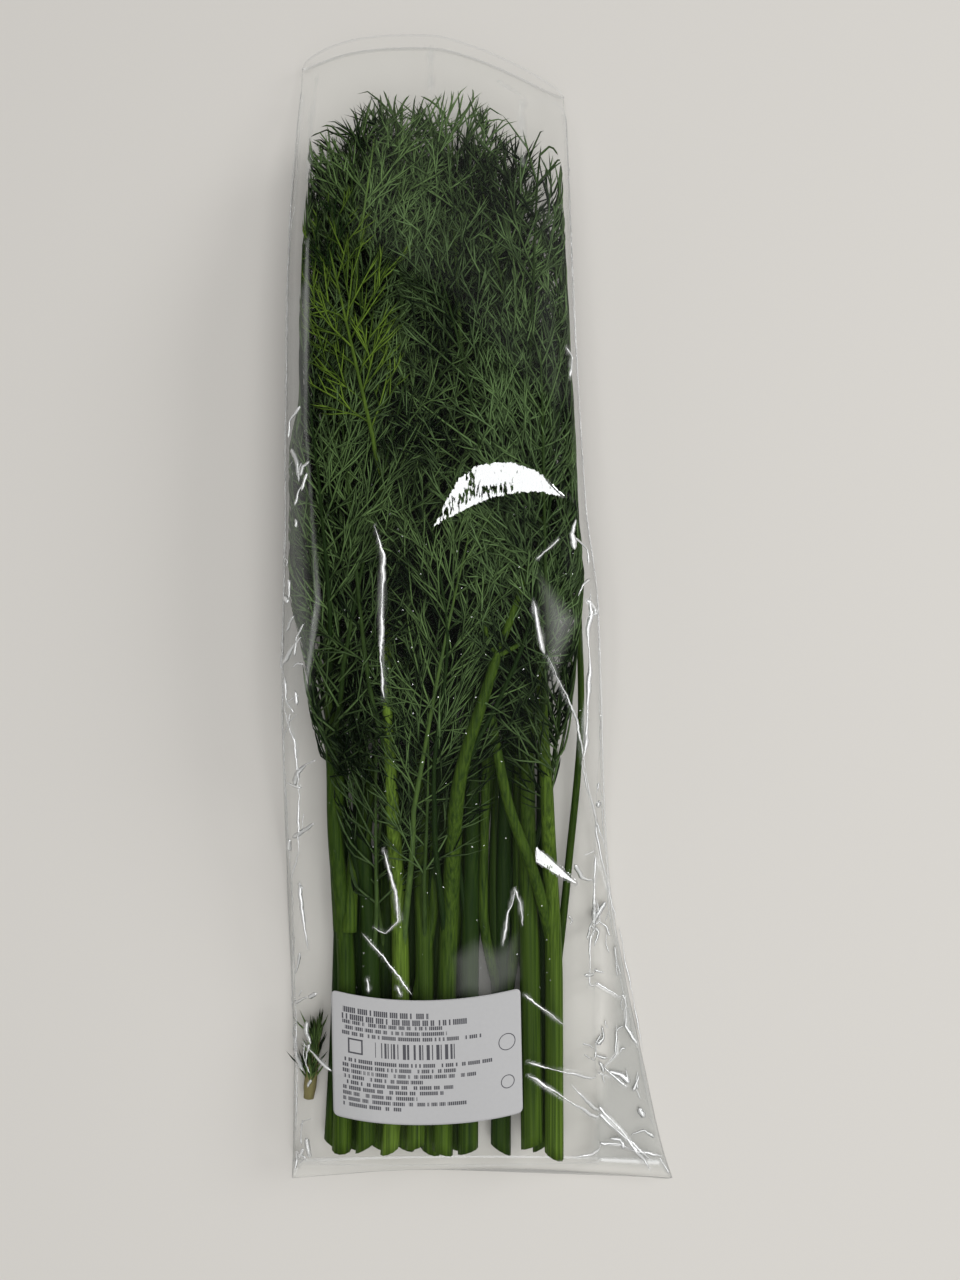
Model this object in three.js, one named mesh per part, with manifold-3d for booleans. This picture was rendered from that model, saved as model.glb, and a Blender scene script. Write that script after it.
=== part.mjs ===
// A bunch of fresh dill in a clear film bag with a paper label, lying on its back.
// Millimetres. +Z is up and +Y runs from the cut ends to the frond tips. The origin is on the
// surface that the bag lies on, below the middle of the bag.
import * as THREE from "three";
import { mergeVertices } from "three/addons/utils/BufferGeometryUtils.js";
import Module from "manifold-3d";

const wasm = await Module();
wasm.setup();

const { clamp, degToRad, lerp, seededRandom, smoothstep } = THREE.MathUtils;

// The film bag: its outline from above (left, right), where the bunch lifts the upper film
// (bulge), how high, and how full the bag is, from 0 where it lies flat beside the bunch to 1
// where the bunch fills it from side to side.
const BAG_STATIONS = [
  { y: -180.5, left: -60.0, right: 61.4, bulgeLeft: -58.0, bulgeRight: 38.0, height: 1.2, full: 0 },
  { y: -176.0, left: -59.8, right: 59.8, bulgeLeft: -58.2, bulgeRight: 38.0, height: 4.5, full: 0 },
  { y: -168.0, left: -59.6, right: 57.5, bulgeLeft: -58.4, bulgeRight: 38.0, height: 17.5, full: 0 },
  { y: -145.0, left: -59.4, right: 52.5, bulgeLeft: -58.5, bulgeRight: 37.0, height: 18.5, full: 0 },
  { y: -117.0, left: -60.2, right: 46.5, bulgeLeft: -58.8, bulgeRight: 36.5, height: 19.0, full: 0 },
  { y: -88.0, left: -61.2, right: 41.5, bulgeLeft: -59.5, bulgeRight: 36.0, height: 22.0, full: 0.2 },
  { y: -57.0, left: -61.4, right: 39.0, bulgeLeft: -60.5, bulgeRight: 36.5, height: 28.5, full: 0.7 },
  { y: -27.0, left: -61.2, right: 37.6, bulgeLeft: -60.8, bulgeRight: 37.0, height: 34.5, full: 1 },
  { y: 3.0, left: -60.6, right: 36.4, bulgeLeft: -60.2, bulgeRight: 36.0, height: 37.5, full: 1 },
  { y: 32.0, left: -59.9, right: 32.8, bulgeLeft: -59.5, bulgeRight: 32.4, height: 38.0, full: 1 },
  { y: 90.0, left: -59.6, right: 29.4, bulgeLeft: -59.2, bulgeRight: 29.0, height: 36.5, full: 1 },
  { y: 121.0, left: -58.8, right: 28.2, bulgeLeft: -58.4, bulgeRight: 27.8, height: 32.5, full: 1 },
  { y: 145.0, left: -57.4, right: 27.4, bulgeLeft: -57.0, bulgeRight: 27.0, height: 26.0, full: 1 },
  { y: 163.0, left: -56.8, right: 27.0, bulgeLeft: -56.4, bulgeRight: 26.6, height: 16.5, full: 0.9 },
  { y: 180.5, left: -56.4, right: 26.6, bulgeLeft: -56.0, bulgeRight: 26.2, height: 9.0, full: 0.8 },
];
const FILM = 0.6; // as modelled; the real film is about 0.03 mm
const FLAT_BAG = 1.2; // both films where they lie pressed together
const SEAL_LENGTH = 5;
const WIDEST_SHARE = 0.42; // height of the bag's widest line, as a share of its height
const CROWN = 2.8; // exponent of the upper film's arch, where 2 is an ellipse
const UNDERSIDE_ROUND = 14; // how far in from the side the film meets the surface
const CROWN_POINTS = 13;
const UNDERSIDE_POINTS = 8;
const EDGE_STEP = 0.4;
// The mouth's edge dips on both sides of its highest point.
const MOUTH = { peakX: -15, leftX: -56.4, leftDip: 8, rightX: 26.6, rightDip: 17, from: 149 };
const MOUTH_CURVE = { left: 2, right: 1.4 }; // exponents of the dips
const MOUTH_RINGS = 4; // stretches next to the mouth that take a ring of their own halfway

// The label, stuck on the upper film over the cut ends.
const LABEL = { x: -16.3, y: -136.6, width: 58, height: 40, thickness: 0.3, turn: 1.5, corner: 0.5 };
const LABEL_COLUMNS = 12;
const LABEL_ROWS = 5;
const LABEL_GAP = 0.35;

// Stems. Each one has a place across the bag at every station, a row at the cut ends and a layer
// in the foliage, where layer 0 lies lowest.
const STEM_STATIONS = [-168, -117, -57, 0, 60, 130];
const STEM_TAPER = [1, 0.93, 0.68, 0.44, 0.34, 0.24];
const LOWER_ROW_Z = 4.3;
const UPPER_ROW_Z = 10.7;
const LAYERS = 4;
const FAN_OUT_FROM = -120; // the rows part into layers between these two places
const FAN_OUT_TO = -50;
const STEMS = [
  { name: "stem_low_1", layer: 0, radius: 2.9, across: [-38.7, -37.5, -38, -38, -37, -35] },
  { name: "stem_low_2", layer: 0, radius: 2.9, across: [-24, -22.5, -20, -19, -19, -17] },
  { name: "stem_low_3", layer: 0, radius: 3.0, across: [-7.5, -6.5, -2, 1, 2, 1] },
  { name: "stem_low_4", layer: 0, radius: 2.9, across: [19.7, 20, 20, 20, 18, 16] },
  { name: "stem_core_1", layer: 1, radius: 2.8, across: [-46.3, -44, -43, -44, -44, -42] },
  { name: "stem_core_2", layer: 1, radius: 3.0, across: [-31.4, -30, -28, -28, -29, -27] },
  { name: "stem_core_3", layer: 1, radius: 3.1, across: [-15.7, -14.3, -11, -9, -8, -8] },
  { name: "stem_core_4", layer: 1, radius: 2.9, across: [6.5, 7, 8, 11, 11, 9] },
  { name: "stem_mid_1", layer: 2, radius: 3.0, across: [-35.6, -34, -37, -41, -42, -40] },
  { name: "stem_mid_2", layer: 2, radius: 3.0, across: [-20.3, -17.2, -19, -22, -23, -22] },
  { name: "stem_mid_3", layer: 2, radius: 3.0, across: [-3.8, -3.4, -2.5, -4, -4, -3] },
  { name: "stem_mid_4", layer: 2, radius: 3.3, across: [16.2, 15.6, 14.5, 15, 15, 13] },
  { name: "stem_top_1", layer: 3, radius: 2.9, across: [-43, -41.5, -45, -46, -45, -43] },
  { name: "stem_top_2", layer: 3, radius: 2.8, across: [-28.1, -24.6, -26.5, -28, -27, -25] },
  { name: "stem_top_3", layer: 3, radius: 3.0, across: [-11.8, -10.3, -7, 7, 9, 6] },
  { name: "stem_top_4", layer: 3, radius: 2.8, across: [23, 23, 20.3, 18, 19, 17] },
];
const STEM_SIDES = 7;
const STEM_STEPS = 9;
const CUT_SLANT = 0.45;
const CUT_STAGGER = 3; // how far the cut ends lie from one line

// Fronds: where each one's leaflets start along the stem, by layer, and how they grow.
const FROND_STARTS = [[-50, 46], [-46, 50], [-52, 46], [-60, 4, 65]];
const FROND_LENGTHS = [94, 92, 94, 88];
const START_JITTER = 4;
const STALK_LENGTH = 14;
const STALK_HALF_WIDTH = 0.6;
const RIB_HALF_WIDTH = 0.55;
const RIB_THICKNESS = 1.2;
const RIB_TAPER = 0.6; // the rib's thickness at the frond's tip, as a share of that at its foot
const TIP_THICKNESS = 0.6;
const LEAFLET_PAIRS = 5;
const FORKED_PAIRS = 3; // the lower pairs have three threads a side, the others two
const FIRST_PAIR = 7;
const THREAD_LENGTH = 19;
const THREAD_ANGLES = { three: [57, 43, 29], two: [50, 32] };
const SIDE_THREAD = 0.84; // length of a fan's outer threads, as a share of its middle one
const THREAD_SHARES = [0.88, 1.06]; // how far the threads' lengths differ
const THREAD_TURN = 3; // how far a thread turns from its angle, in degrees
const TIP_SWAY = 1; // how far a frond's tip lies beside its rib
const THREAD_ROOT = 0.75;
const NOTCH_DEPTH = 1.4;
const TIP_SHRINK = 0.45; // how much shorter the last threads are
const TIP_FORK = { from: 0.45, reach: 3.4, length: 9, notch: 1.5, notchHalfWidth: 0.3 };
const PAIR_SHIFT = 1.5; // leaflets of a pair don't start at quite the same place
const WIDEST_REACH = 15;
const RIB_CLEARANCE = 1;
const LEAN = [4.5, 5.5]; // how far a frond's rib leaves its stem sideways
const LANE_GAP = 1.0;
const LEVEL_SHARE = 0.36; // how far above or below its stem a frond lies, as a share of its layer
const WAVE_SHARE = 0.03; // how far a thread's tip strays from its frond, as a share of its layer
const SIDE_CLEARANCE = 3.4;
const ROOM_GAP = 0.5;

// The broken piece of stem that lies loose beside the label.
const LOOSE_PIECE = {
  from: [-54.3, -154, 3.4],
  to: [-51.6, -131, 3.0],
  radius: 2.2,
  taper: 0.7,
  steps: 2,
};

const SEED = 4127;
const WELD_DISTANCE = 1e-4;
const COLOURS = {
  film: 0xdfe4e2,
  paper: 0xe6e6ea,
  leafDark: 0x2f4a2a,
  leafMid: 0x35552b,
  leafBright: 0x4a7a22,
  cutEnd: 0x7d8f45,
};
const ROUGHNESS = { film: 0.08, paper: 0.7, leaf: 0.5, cutEnd: 0.6 };
const FILM_OPACITY = 0.25;
const BRIGHT_STEM = "stem_top_2"; // a young stem with yellow-green fronds

// A smooth curve through values at rising places, which never swings past them.
function curveThrough(places, values) {
  const last = places.length - 1;
  const steps = places.slice(1).map((place, i) => place - places[i]);
  const slopes = steps.map((step, i) => (values[i + 1] - values[i]) / step);
  const tangents = places.map((_, i) => {
    if (i === 0) return slopes[0];
    if (i === last) return slopes[last - 1];
    return slopes[i - 1] * slopes[i] <= 0 ? 0 : 2 / (1 / slopes[i - 1] + 1 / slopes[i]);
  });
  return (place) => {
    let i = 0;
    while (i < last - 1 && place > places[i + 1]) i++;
    const t = clamp((place - places[i]) / steps[i], 0, 1);
    const rise = (values[i + 1] - values[i]) * t * t * (3 - 2 * t);
    const bend = steps[i] * t * (1 - t) * (tangents[i] * (1 - t) - tangents[i + 1] * t);
    return values[i] + rise + bend;
  };
}

const stationPlaces = BAG_STATIONS.map((station) => station.y);
const bagCurves = Object.fromEntries(
  ["left", "right", "bulgeLeft", "bulgeRight", "height", "full"].map((key) => [
    key,
    curveThrough(stationPlaces, BAG_STATIONS.map((station) => station[key])),
  ]),
);
const bagBottom = stationPlaces[0];
const bagTop = stationPlaces[stationPlaces.length - 1];

// The bag's cross-section at y, drawn in by an inset: 0 is the outside of the film.
function bagSection(y, inset) {
  const left = bagCurves.left(y);
  const right = bagCurves.right(y);
  const full = bagCurves.full(y);
  const height = bagCurves.height(y) - inset;
  const bulgeLeft = Math.max(bagCurves.bulgeLeft(y), left + EDGE_STEP) + inset;
  const bulgeRight = Math.min(bagCurves.bulgeRight(y), right - EDGE_STEP) - inset;
  const edgeZ = lerp(FLAT_BAG / 2, WIDEST_SHARE * height, full);
  const shoulderZ = inset > 0 ? edgeZ : Math.max(edgeZ, FLAT_BAG);
  const middle = (bulgeLeft + bulgeRight) / 2;
  const halfWidth = (bulgeRight - bulgeLeft) / 2;
  const outerLeft = inset > 0 ? bulgeLeft : left;
  const outerRight = inset > 0 ? bulgeRight : right;
  const round = lerp(1, UNDERSIDE_ROUND, full);
  return {
    outerLeft,
    outerRight,
    middle,
    halfWidth,
    edgeZ,
    ceiling(x) {
      const share = clamp(Math.abs(x - middle) / halfWidth, 0, 1);
      const arch = (1 - share ** CROWN) ** (1 / CROWN);
      return shoulderZ + Math.max(0, height - shoulderZ) * arch;
    },
    floor(x) {
      const inFromSide = Math.min(x - outerLeft, outerRight - x);
      const share = clamp(1 - inFromSide / round, 0, 1);
      return inset + Math.max(0, edgeZ - inset) * (1 - Math.sqrt(1 - share * share));
    },
  };
}

// How far the bag's mouth dips below its highest point, at x.
function mouthDip(x) {
  if (x < MOUTH.peakX) {
    return MOUTH.leftDip * clamp((MOUTH.peakX - x) / (MOUTH.peakX - MOUTH.leftX), 0, 1)
      ** MOUTH_CURVE.left;
  }
  return MOUTH.rightDip * clamp((x - MOUTH.peakX) / (MOUTH.rightX - MOUTH.peakX), 0, 1)
    ** MOUTH_CURVE.right;
}

// One ring of points round the bag at y: the outer left edge, over the top, then back underneath.
function bagRing(y, inset) {
  const section = bagSection(y, inset);
  const { outerLeft, outerRight, middle, halfWidth } = section;
  const points = [];
  const add = (x, z) => {
    const dip = mouthDip(x) * smoothstep(y, MOUTH.from, bagTop);
    points.push(new THREE.Vector3(x, y - dip, z));
  };
  if (inset === 0) add(outerLeft, section.edgeZ);
  for (let i = 0; i < CROWN_POINTS; i++) {
    const x = middle - halfWidth * Math.cos((Math.PI * i) / (CROWN_POINTS - 1));
    add(x, section.ceiling(x));
  }
  if (inset === 0) add(outerRight, section.edgeZ);
  const underMiddle = (outerLeft + outerRight) / 2;
  const underHalf = (outerRight - outerLeft) / 2;
  for (let i = 1; i <= UNDERSIDE_POINTS; i++) {
    const x = underMiddle + underHalf * Math.cos((Math.PI * i) / (UNDERSIDE_POINTS + 1));
    add(x, section.floor(x));
  }
  return points;
}

// The triangles that close a ring, as index triples that run anticlockwise in its X, Z plane.
function capTriangles(ring) {
  const outline = ring.map((point) => new THREE.Vector2(point.x, point.z));
  return THREE.ShapeUtils.triangulateShape(outline, []).map((face) => {
    const [a, b, c] = face.map((i) => outline[i]);
    const area = (b.x - a.x) * (c.y - a.y) - (c.x - a.x) * (b.y - a.y);
    return area > 0 ? face : [face[0], face[2], face[1]];
  });
}

// A closed solid through rings that follow each other along +Y.
function loft(rings) {
  const count = rings[0].length;
  const index = [];
  for (let i = 0; i < rings.length - 1; i++) {
    for (let j = 0; j < count; j++) {
      const a = i * count + j;
      const b = i * count + ((j + 1) % count);
      index.push(a, b, b + count, a, b + count, a + count);
    }
  }
  const lastStart = (rings.length - 1) * count;
  for (const [a, b, c] of capTriangles(rings[0])) index.push(a, b, c);
  for (const [a, b, c] of capTriangles(rings[rings.length - 1])) {
    index.push(lastStart + a, lastStart + c, lastStart + b);
  }
  const geometry = new THREE.BufferGeometry();
  const positions = rings.flat().flatMap((point) => [point.x, point.y, point.z]);
  geometry.setAttribute("position", new THREE.Float32BufferAttribute(positions, 3));
  return geometry.setIndex(index);
}

// A closed geometry as a solid that can be joined and cut.
function solid(geometry) {
  geometry.deleteAttribute("normal");
  geometry.deleteAttribute("uv");
  const merged = mergeVertices(geometry, WELD_DISTANCE);
  return new wasm.Manifold(
    new wasm.Mesh({
      numProp: 3,
      vertProperties: merged.attributes.position.array,
      triVerts: new Uint32Array(merged.index.array),
    }),
  );
}

function meshOf(name, body, material) {
  const { vertProperties, triVerts } = body.getMesh();
  const geometry = new THREE.BufferGeometry();
  geometry.setAttribute("position", new THREE.BufferAttribute(new Float32Array(vertProperties), 3));
  geometry.setIndex(new THREE.BufferAttribute(new Uint32Array(triVerts), 1));
  geometry.computeVertexNormals();
  const mesh = new THREE.Mesh(geometry, material);
  mesh.name = name;
  return mesh;
}

function standard(color, roughness, extra = {}) {
  return new THREE.MeshStandardMaterial({ color, roughness, metalness: 0, ...extra });
}

// A rod of the given sides bent along a path, whose radius follows the path. The first end can
// be cut at a slant.
function bentRod(path, radiusAt, sides, steps, slant = 0) {
  const rod = new THREE.CylinderGeometry(1, 1, 1, sides, steps);
  const position = rod.attributes.position;
  for (let i = 0; i < position.count; i++) {
    const share = position.getY(i) + 0.5;
    const centre = path(share);
    const radius = radiusAt(share);
    const sideways = position.getX(i) * radius;
    const cut = share < 1e-6 ? slant * sideways : 0;
    position.setXYZ(i, centre.x + sideways, centre.y + cut, centre.z + position.getZ(i) * radius);
  }
  return rod;
}

// The line of one stem: its place across the bag, its height and its radius, at y.
const taper = curveThrough(STEM_STATIONS, STEM_TAPER);
function stemLine(stem) {
  const across = curveThrough(STEM_STATIONS, stem.across);
  const rowZ = stem.layer < LAYERS / 2 ? LOWER_ROW_Z : UPPER_ROW_Z;
  return {
    x: across,
    z(y) {
      const fan = smoothstep(y, FAN_OUT_FROM, FAN_OUT_TO);
      return lerp(rowZ, layerZ(across(y), y, stem.layer + 0.5), fan);
    },
    radius: (y) => stem.radius * taper(y),
  };
}

// The height of a level inside the bag, counted in layers from the underside, at x and y.
function layerZ(x, y, level) {
  const section = bagSection(y, FILM + ROOM_GAP);
  const floor = section.floor(x);
  return floor + (section.ceiling(x) - floor) * (level / LAYERS);
}

const stemLines = STEMS.map(stemLine);

// The stretch across the bag that a stem's fronds may fill at y: halfway to each neighbour of its
// own layer, or up to the film.
function lane(stemIndex, y) {
  const layer = STEMS[stemIndex].layer;
  const section = bagSection(y, FILM + ROOM_GAP);
  const own = stemLines[stemIndex].x(y);
  let left = section.outerLeft + SIDE_CLEARANCE;
  let right = section.outerRight - SIDE_CLEARANCE;
  STEMS.forEach((stem, i) => {
    if (i === stemIndex || stem.layer !== layer) return;
    const halfway = (stemLines[i].x(y) + own) / 2;
    if (halfway < own) left = Math.max(left, halfway + LANE_GAP);
    else right = Math.min(right, halfway - LANE_GAP);
  });
  return { left, right };
}

// One side's threads at a leaflet pair, from the lowest to the highest, as outline points.
function threadPoints(side, along, size, forked, wander) {
  const angles = forked ? THREAD_ANGLES.three : THREAD_ANGLES.two;
  const at = (reach, angle, root) => [
    side * (RIB_HALF_WIDTH + reach * Math.sin(degToRad(angle))),
    root + reach * Math.cos(degToRad(angle)),
    reach > NOTCH_DEPTH,
  ];
  const points = [[side * RIB_HALF_WIDTH, along - THREAD_ROOT, false]];
  angles.forEach((angle, i) => {
    const middleOne = angles.length === 3 && i === 1;
    const length = size * THREAD_LENGTH * (middleOne ? 1 : SIDE_THREAD) * wander(...THREAD_SHARES);
    points.push(at(length, angle + wander(-THREAD_TURN, THREAD_TURN), along));
    if (i < angles.length - 1) points.push(at(NOTCH_DEPTH, (angle + angles[i + 1]) / 2, along));
  });
  points.push([side * RIB_HALF_WIDTH, along + THREAD_ROOT, false]);
  return points;
}

// The flat outline of a frond's blade: threads up its right side, a fork at its tip, then down
// its left side. The third value of a point says that it is a thread's tip.
function frondOutline(length, wander) {
  const spacing = (length - FIRST_PAIR - THREAD_LENGTH * TIP_SHRINK) / LEAFLET_PAIRS;
  const right = [];
  const left = [];
  for (let i = 0; i < LEAFLET_PAIRS; i++) {
    const size = 1 - TIP_SHRINK * (i / LEAFLET_PAIRS) ** 2;
    const forked = i < FORKED_PAIRS;
    const along = FIRST_PAIR + spacing * i;
    right.push(...threadPoints(1, along, size, forked, wander));
    const opposite = along + wander(-PAIR_SHIFT, PAIR_SHIFT);
    left.unshift(...threadPoints(-1, opposite, size, forked, wander).reverse());
  }
  const forkAt = FIRST_PAIR + spacing * (LEAFLET_PAIRS - TIP_FORK.from);
  const fork = [
    [TIP_FORK.reach, forkAt + TIP_FORK.length, true],
    [TIP_FORK.notchHalfWidth, forkAt + TIP_FORK.notch, false],
    [wander(-TIP_SWAY, TIP_SWAY), length, true],
    [-TIP_FORK.notchHalfWidth, forkAt + TIP_FORK.notch, false],
    [-TIP_FORK.reach, forkAt + TIP_FORK.length, true],
  ];
  const foot = [STALK_HALF_WIDTH, -STALK_LENGTH, false];
  return [foot, ...right, ...fork, ...left, [-STALK_HALF_WIDTH, -STALK_LENGTH, false]];
}

// One frond: a thin arched blade cut into threads, whose stalk is sunk in its stem. It follows
// the bag's own curve in its layer and stays in the stem's lane.
function frond(stemIndex, start, length, side, wander) {
  const stem = STEMS[stemIndex];
  const line = stemLines[stemIndex];
  const level = stem.layer + 0.5 + side * LEVEL_SHARE;
  const lean = side * wander(...LEAN);
  const ribX = (y) => line.x(y) + lean * smoothstep(y, start - STALK_LENGTH, start + FIRST_PAIR);
  const place = (u, v, wave) => {
    const y = start + v;
    const { left, right } = lane(stemIndex, y);
    const rib = clamp(ribX(y), left + RIB_CLEARANCE, right - RIB_CLEARANCE);
    const room = u > 0 ? right - rib : rib - left;
    const x = rib + u * Math.min(1, room / WIDEST_REACH);
    const leave = smoothstep(v, -STALK_LENGTH, FIRST_PAIR);
    const bladeZ = layerZ(x, y, level + wave * WAVE_SHARE);
    return new THREE.Vector3(x, y, lerp(line.z(y), bladeZ, leave));
  };
  const outline = frondOutline(length, wander);
  const tips = new Map(
    outline.filter((point) => point[2]).map(([u, v]) => [pointKey(u, v), wander(-1, 1)]),
  );
  const shape = new THREE.Shape(outline.map(([u, v]) => new THREE.Vector2(u, v)));
  const blade = new THREE.ExtrudeGeometry(shape, { depth: 1, bevelEnabled: false });
  const position = blade.attributes.position;
  for (let i = 0; i < position.count; i++) {
    const [u, v] = [position.getX(i), position.getY(i)];
    const wave = tips.get(pointKey(u, v));
    const centre = place(u, v, wave ?? 0);
    const ribThickness = RIB_THICKNESS * lerp(1, RIB_TAPER, v / length);
    const thickness = wave === undefined ? ribThickness : TIP_THICKNESS;
    position.setXYZ(i, centre.x, centre.y, centre.z + (position.getZ(i) - 0.5) * thickness);
  }
  return solid(blade);
}

function pointKey(u, v) {
  return `${u.toFixed(3)} ${v.toFixed(3)}`;
}

// One leafy stem: its ribbed rod with every frond that grows on it, as one body.
function leafyStem(stemIndex, wander) {
  const stem = STEMS[stemIndex];
  const line = stemLines[stemIndex];
  const starts = FROND_STARTS[stem.layer].map(
    (start) => start - mouthDip(line.x(start)) + wander(-START_JITTER, START_JITTER),
  );
  const cutY = STEM_STATIONS[0] + wander(0, CUT_STAGGER);
  const endY = starts[starts.length - 1] + STALK_LENGTH;
  const rod = bentRod(
    (share) => {
      const y = lerp(cutY, endY, share);
      return new THREE.Vector3(line.x(y), y, line.z(y));
    },
    (share) => line.radius(lerp(cutY, endY, share)),
    STEM_SIDES,
    STEM_STEPS,
    wander(-CUT_SLANT, CUT_SLANT),
  );
  return starts.reduce((body, start, i) => {
    const side = (i + stemIndex) % 2 ? 1 : -1;
    return body.add(frond(stemIndex, start, FROND_LENGTHS[stem.layer], side, wander));
  }, solid(rod));
}

// The bag: its outer form less the room inside, which is open at the mouth.
function filmBag() {
  const between = stationPlaces.slice(1).map((y, i) => (y + stationPlaces[i]) / 2);
  const places = [...stationPlaces, ...between.slice(-MOUTH_RINGS)].sort((a, b) => a - b);
  const outer = loft(places.map((y) => bagRing(y, 0)));
  const roomStart = bagBottom + SEAL_LENGTH;
  const roomPlaces = [roomStart, ...places.filter((y) => y > roomStart)];
  const rings = roomPlaces.map((y) => bagRing(y, FILM));
  const beyond = rings[rings.length - 1].map((p) => new THREE.Vector3(p.x, p.y + MOUTH.rightDip, p.z));
  return solid(outer).subtract(solid(loft([...rings, beyond])));
}

// The label: a thin sheet that follows the upper film just above it.
function paperLabel() {
  const { x, y, width, height, thickness, turn, corner } = LABEL;
  const sheet = new THREE.BoxGeometry(width, height, thickness, LABEL_COLUMNS, LABEL_ROWS, 1);
  const position = sheet.attributes.position;
  const [cos, sin] = [Math.cos(degToRad(turn)), Math.sin(degToRad(turn))];
  for (let i = 0; i < position.count; i++) {
    let [u, v] = [position.getX(i), position.getY(i)];
    if (Math.abs(u) > width / 2 - 1e-3 && Math.abs(v) > height / 2 - 1e-3) {
      u -= Math.sign(u) * corner;
      v -= Math.sign(v) * corner;
    }
    const [px, py] = [x + u * cos - v * sin, y + u * sin + v * cos];
    const film = bagSection(py, 0).ceiling(px);
    position.setXYZ(i, px, py, film + LABEL_GAP + position.getZ(i) + thickness / 2);
  }
  return solid(sheet);
}

function loosePiece() {
  const [from, to] = [new THREE.Vector3(...LOOSE_PIECE.from), new THREE.Vector3(...LOOSE_PIECE.to)];
  const radiusAt = (share) => LOOSE_PIECE.radius * lerp(1, LOOSE_PIECE.taper, share);
  const path = (share) => from.clone().lerp(to, share);
  return solid(bentRod(path, radiusAt, STEM_SIDES, LOOSE_PIECE.steps, CUT_SLANT));
}

function dillBunch() {
  const bunch = new THREE.Group();
  const lower = standard(COLOURS.leafDark, ROUGHNESS.leaf);
  const upper = standard(COLOURS.leafMid, ROUGHNESS.leaf);
  const bright = standard(COLOURS.leafBright, ROUGHNESS.leaf);
  seededRandom(SEED);
  const wander = (low, high) => lerp(low, high, seededRandom());
  STEMS.forEach((stem, i) => {
    const material = stem.layer < LAYERS / 2 ? lower : upper;
    bunch.add(meshOf(stem.name, leafyStem(i, wander), stem.name === BRIGHT_STEM ? bright : material));
  });
  bunch.add(meshOf("loose_piece", loosePiece(), standard(COLOURS.cutEnd, ROUGHNESS.cutEnd)));
  const film = standard(COLOURS.film, ROUGHNESS.film, { transparent: true, opacity: FILM_OPACITY });
  bunch.add(meshOf("film_bag", filmBag(), film));
  bunch.add(meshOf("paper_label", paperLabel(), standard(COLOURS.paper, ROUGHNESS.paper)));
  return bunch;
}

export default dillBunch();
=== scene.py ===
"""A bunch of fresh dill in a clear film bag, dressed for rendering over its fixed frame."""
import math

import bpy
import numpy as np
from bpy.props import FloatProperty, FloatVectorProperty, IntProperty, PointerProperty
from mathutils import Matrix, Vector


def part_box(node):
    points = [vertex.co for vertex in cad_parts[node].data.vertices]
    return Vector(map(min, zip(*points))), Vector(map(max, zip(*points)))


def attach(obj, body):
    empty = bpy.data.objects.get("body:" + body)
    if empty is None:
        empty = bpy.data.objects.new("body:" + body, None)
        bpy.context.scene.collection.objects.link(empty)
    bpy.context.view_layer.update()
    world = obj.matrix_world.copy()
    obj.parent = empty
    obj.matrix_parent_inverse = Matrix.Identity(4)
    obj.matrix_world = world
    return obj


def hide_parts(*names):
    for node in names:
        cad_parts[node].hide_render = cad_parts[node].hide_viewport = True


bl_info = {
    "name": "Bagged Dill Bunch",
    "version": (1, 0, 0),
    "blender": (4, 5, 0),
    "location": "View3D > Sidebar > Dill",
    "description": "Leafy dill stems in a creased clear film bag with a paper label",
    "category": "Add Mesh",
}

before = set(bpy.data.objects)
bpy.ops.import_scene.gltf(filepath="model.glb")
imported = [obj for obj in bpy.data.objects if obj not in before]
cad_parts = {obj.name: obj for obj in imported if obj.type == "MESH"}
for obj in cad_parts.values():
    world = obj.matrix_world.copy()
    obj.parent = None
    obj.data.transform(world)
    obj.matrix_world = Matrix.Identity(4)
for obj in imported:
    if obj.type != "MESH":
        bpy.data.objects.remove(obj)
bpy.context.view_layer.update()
MM = 0.001

# ---------------------------------------------------------------- the bag's shape, in millimetres
# y, left edge, right edge, left and right of the bulge, height, and how full the bag is there.
BAG_STATIONS = np.array([
    (-180.5, -60.0, 61.4, -58.0, 38.0, 1.2, 0.0),
    (-176.0, -59.8, 59.8, -58.2, 38.0, 4.5, 0.0),
    (-168.0, -59.6, 57.5, -58.4, 38.0, 17.5, 0.0),
    (-145.0, -59.4, 52.5, -58.5, 37.0, 18.5, 0.0),
    (-117.0, -60.2, 46.5, -58.8, 36.5, 19.0, 0.0),
    (-88.0, -61.2, 41.5, -59.5, 36.0, 22.0, 0.2),
    (-57.0, -61.4, 39.0, -60.5, 36.5, 28.5, 0.7),
    (-27.0, -61.2, 37.6, -60.8, 37.0, 34.5, 1.0),
    (3.0, -60.6, 36.4, -60.2, 36.0, 37.5, 1.0),
    (32.0, -59.9, 32.8, -59.5, 32.4, 38.0, 1.0),
    (90.0, -59.6, 29.4, -59.2, 29.0, 36.5, 1.0),
    (121.0, -58.8, 28.2, -58.4, 27.8, 32.5, 1.0),
    (145.0, -57.4, 27.4, -57.0, 27.0, 26.0, 1.0),
    (163.0, -56.8, 27.0, -56.4, 26.6, 16.5, 0.9),
    (180.5, -56.4, 26.6, -56.0, 26.2, 9.0, 0.8),
])
FLAT_BAG = 1.2  # both films where they lie pressed together
WIDEST_SHARE = 0.42  # height of the bag's widest line, as a share of its height
CROWN = 2.8  # exponent of the upper film's arch, where 2 is an ellipse
UNDERSIDE_ROUND = 14.0  # how far in from the side the film meets the surface
EDGE_STEP = 0.4
LAYERS = 4
MOUTH_Y = 180.5
MOUTH_FROM = 149  # where the film starts to follow the dips of the mouth's edge
MOUTH_PEAK_X = -15
MOUTH_LEFT = (41.4, 8.0, 3.4)  # how far the dip reaches from the peak, its depth and exponent
MOUTH_RIGHT = (41.6, 17.0, 1.4)
SEAL_Y = -175.2
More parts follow.
